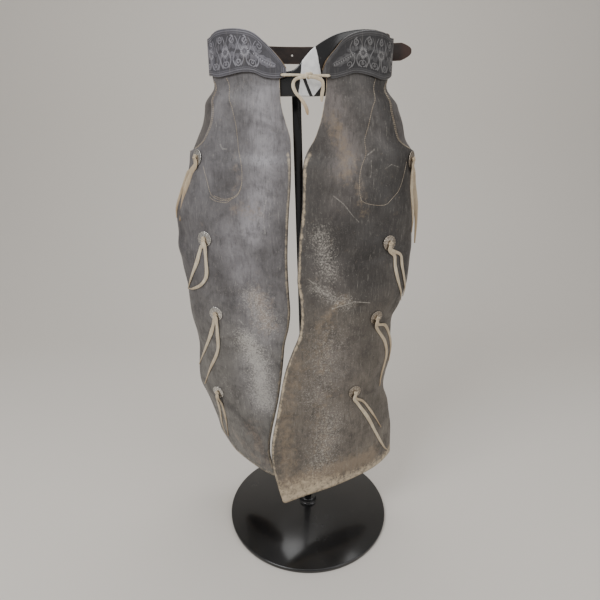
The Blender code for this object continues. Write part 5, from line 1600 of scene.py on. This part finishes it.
work = bmesh.new()
bmesh.ops.create_cube(work, size=1.0)
low, high = stand["bossTop"] + stand["gap"], stand["barLow"] - stand["gap"]
for vertex in work.verts:
    share = vertex.co.z + 0.5
    vertex.co = Vector((vertex.co.x * stand["postSide"] + stand["postTopX"] * share,
                        vertex.co.y * stand["postSide"], low + (high - low) * share))
bevelled("square_post", work, 0.0022, 4, paint, "stand_post")

reach = leg["waistHalfWidth"] + stand["formOuter"] - stand["formWall"] - stand["formSeat"]
work = bmesh.new()
middle = Matrix.Translation((leg["waistX"], 0.0, stand["barLow"] + stand["barSide"] / 2))
sizes = Matrix.Diagonal((2 * reach, stand["barSide"], stand["barSide"], 1.0))
bmesh.ops.create_cube(work, size=1.0, matrix=middle @ sizes)
bevelled("cross_bar", work, 0.0018, 3, paint, "stand_crossbar")

formColumns = ("angle", "low", "high")
formTable = ((-180, 1.090, 1.132), (-135, 1.084, 1.140), (-90, 1.076, 1.165), (-50, 1.070, 1.140),
             (-14, 1.066, 1.111), (-4, 1.066, 1.112), (1, 1.066, 1.127), (7, 1.066, 1.146),
             (17, 1.067, 1.165), (27, 1.069, 1.176), (44, 1.072, 1.184), (66, 1.075, 1.184),
             (90, 1.076, 1.165), (135, 1.084, 1.140), (180, 1.090, 1.132))
work = bmesh.new()
rings = []
for angle in np.linspace(-180.0, 180.0, 181)[:-1]:
    row = readTable(formColumns, formTable, angle)
    ring = []
    outer, inner = stand["formOuter"], stand["formOuter"] - stand["formWall"]
    heights = np.linspace(row["low"], row["high"], 9)
    for grown, height in [(outer, h) for h in heights] + [(inner, h) for h in heights[::-1]]:
        ring.append(work.verts.new(waistSpace("left", angle, grown, height)))
    rings.append(ring)
for k, ring in enumerate(rings):
    after = rings[(k + 1) % len(rings)]
    for j in range(len(ring)):
        ahead = (j + 1) % len(ring)
        work.faces.new((ring[j], ring[ahead], after[ahead], after[j]))
bmesh.ops.recalc_face_normals(work, faces=work.faces)
# the hip form's paint carries a painted reflection of a light panel across its front
bevelled("hip_form", work, 0.0026, 4, standPaint("formPaint", True), "stand_hip_form")
print("stand made")


# Stitches, set along the leather by one tree of nodes

stitch = {"Pitch": 0.0036, "Length": 0.0029, "Thickness": 0.0011}


def stitchTree(thread):
    tree = bpy.data.node_groups.new("stitchRow", "GeometryNodeTree")
    sizes = {}
    tree.interface.new_socket("Geometry", in_out="INPUT", socket_type="NodeSocketGeometry")
    for label, value in stitch.items():
        socket = tree.interface.new_socket(label, in_out="INPUT", socket_type="NodeSocketFloat")
        socket.default_value = value
        sizes[label] = socket.identifier
    tree.interface.new_socket("Geometry", in_out="OUTPUT", socket_type="NodeSocketGeometry")
    read, give = tree.nodes.new("NodeGroupInput").outputs, tree.nodes.new("NodeGroupOutput").inputs
    curve, spaced, bead, placed, real, sewn = (
        tree.nodes.new("GeometryNode" + kind) for kind in
        ("MeshToCurve", "CurveToPoints", "MeshUVSphere", "InstanceOnPoints", "RealizeInstances", "SetMaterial"))
    shape = tree.nodes.new("ShaderNodeCombineXYZ")
    aim = tree.nodes.new("FunctionNodeAlignRotationToVector")
    spaced.mode = "LENGTH"
    aim.axis = "Z"
    for label, value in (("Segments", 6), ("Rings", 5), ("Radius", 0.5)):
        bead.inputs[label].default_value = value
    sewn.inputs["Material"].default_value = thread
    for start, end in ((read["Geometry"], curve.inputs["Mesh"]), (curve.outputs["Curve"], spaced.inputs["Curve"]),
                       (read["Pitch"], spaced.inputs["Length"]), (read["Thickness"], shape.inputs[0]),
                       (read["Thickness"], shape.inputs[1]), (read["Length"], shape.inputs[2]),
                       (spaced.outputs["Points"], placed.inputs["Points"]),
                       (bead.outputs["Mesh"], placed.inputs["Instance"]),
                       (spaced.outputs["Tangent"], aim.inputs["Vector"]),
                       (aim.outputs["Rotation"], placed.inputs["Rotation"]),
                       (shape.outputs[0], placed.inputs["Scale"]),
                       (placed.outputs["Instances"], real.inputs["Geometry"]),
                       (real.outputs["Geometry"], sewn.inputs["Geometry"]),
                       (sewn.outputs["Geometry"], give["Geometry"])):
        tree.links.new(start, end)
    return tree, sizes


waxedThread = plainLeather("waxedThread", ((0.520, 0.450, 0.350), (0.380, 0.290, 0.200)), 0.0006, 0.8, 0.5)
stitchNodes, stitchSizes = stitchTree(waxedThread)
for side in ("right", "left"):
    points, edges = [], []
    runs = [smoothPath(run, 140) for run in seams[side].values()]
    if side == "right":                                     # sewn twice round the foot of this pocket
        runs.append(smoothPath(seams[side]["pocket"][8:13], 70) + np.array((0.0030, 0.0)))
    for inside in (0.0032, 0.0066):
        runs.append(np.array([(z, slashInset(z) + inside) for z in np.linspace(0.972, 1.098, 70)]))
    for run in runs:
        first = len(points)
        for level, inset in run:
            spot, face = surfacePoint(side, float(level), float(inset), 0.0003)
            points.append(tuple(spot))
        edges += [(k, k + 1) for k in range(first, len(points) - 1)]
    mesh = bpy.data.meshes.new("pocket_stitches_" + side)
    mesh.from_pydata(points, edges, [])
    piece = bpy.data.objects.new("pocket_stitches_" + side, mesh)
    scene.collection.objects.link(piece)
    sewing = piece.modifiers.new("sewing", "NODES")
    sewing.node_group = stitchNodes
    for label, value in stitch.items():
        sewing[stitchSizes[label]] = value
    settle(piece)
    finished(piece, "leg_leather")
    print("stitches", side, len(piece.data.polygons), "faces")


# Floor, backdrop and soft studio light

studio = {"floor": (0.700, 0.665, 0.615), "world": (0.78, 0.77, 0.76), "worldStrength": 0.55}
points, faces = [], []
sweep = [(-6.0, 0.0), (1.1, 0.0)] + [(1.1 + 1.2 * math.sin(t), 1.2 - 1.2 * math.cos(t))
                                     for t in np.linspace(0.1, math.pi / 2, 14)] + [(2.3, 5.0)]
for y, z in sweep:
    points += [(-6.0, y, z), (6.0, y, z)]
faces = [(2 * k, 2 * k + 1, 2 * k + 3, 2 * k + 2) for k in range(len(sweep) - 1)]
mesh = bpy.data.meshes.new("studio_floor")
mesh.from_pydata(points, [], faces)
floorPaint, tree, shader = newMaterial("studioFloor")
shader.inputs["Base Color"].default_value = (*studio["floor"], 1.0)
shader.inputs["Roughness"].default_value = 0.85
standing("studio_floor", mesh, floorPaint)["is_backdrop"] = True
world = bpy.data.worlds.new("studio")
world.use_nodes = True
world.node_tree.nodes["Background"].inputs[0].default_value = (*studio["world"], 1.0)
world.node_tree.nodes["Background"].inputs[1].default_value = studio["worldStrength"]
scene.world = world
for label, place, aim, size, power in (("key", (-1.5, -1.7, 2.5), (0.0, 0.0, 0.75), 1.4, 52.0),
                                       ("fill", (1.9, -1.6, 1.6), (0.0, 0.0, 0.6), 1.8, 20.0),
                                       ("top", (0.1, 0.5, 2.9), (0.0, 0.0, 0.5), 1.6, 22.0)):
    lamp = bpy.data.objects.new(label, bpy.data.lights.new(label, "AREA"))
    lamp.data.energy = power
    lamp.data.size = size
    lamp.location = place
    lamp.rotation_euler = (Vector(aim) - Vector(place)).to_track_quat("-Z", "Y").to_euler()
    scene.collection.objects.link(lamp)
print("studio lit")

low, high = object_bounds()
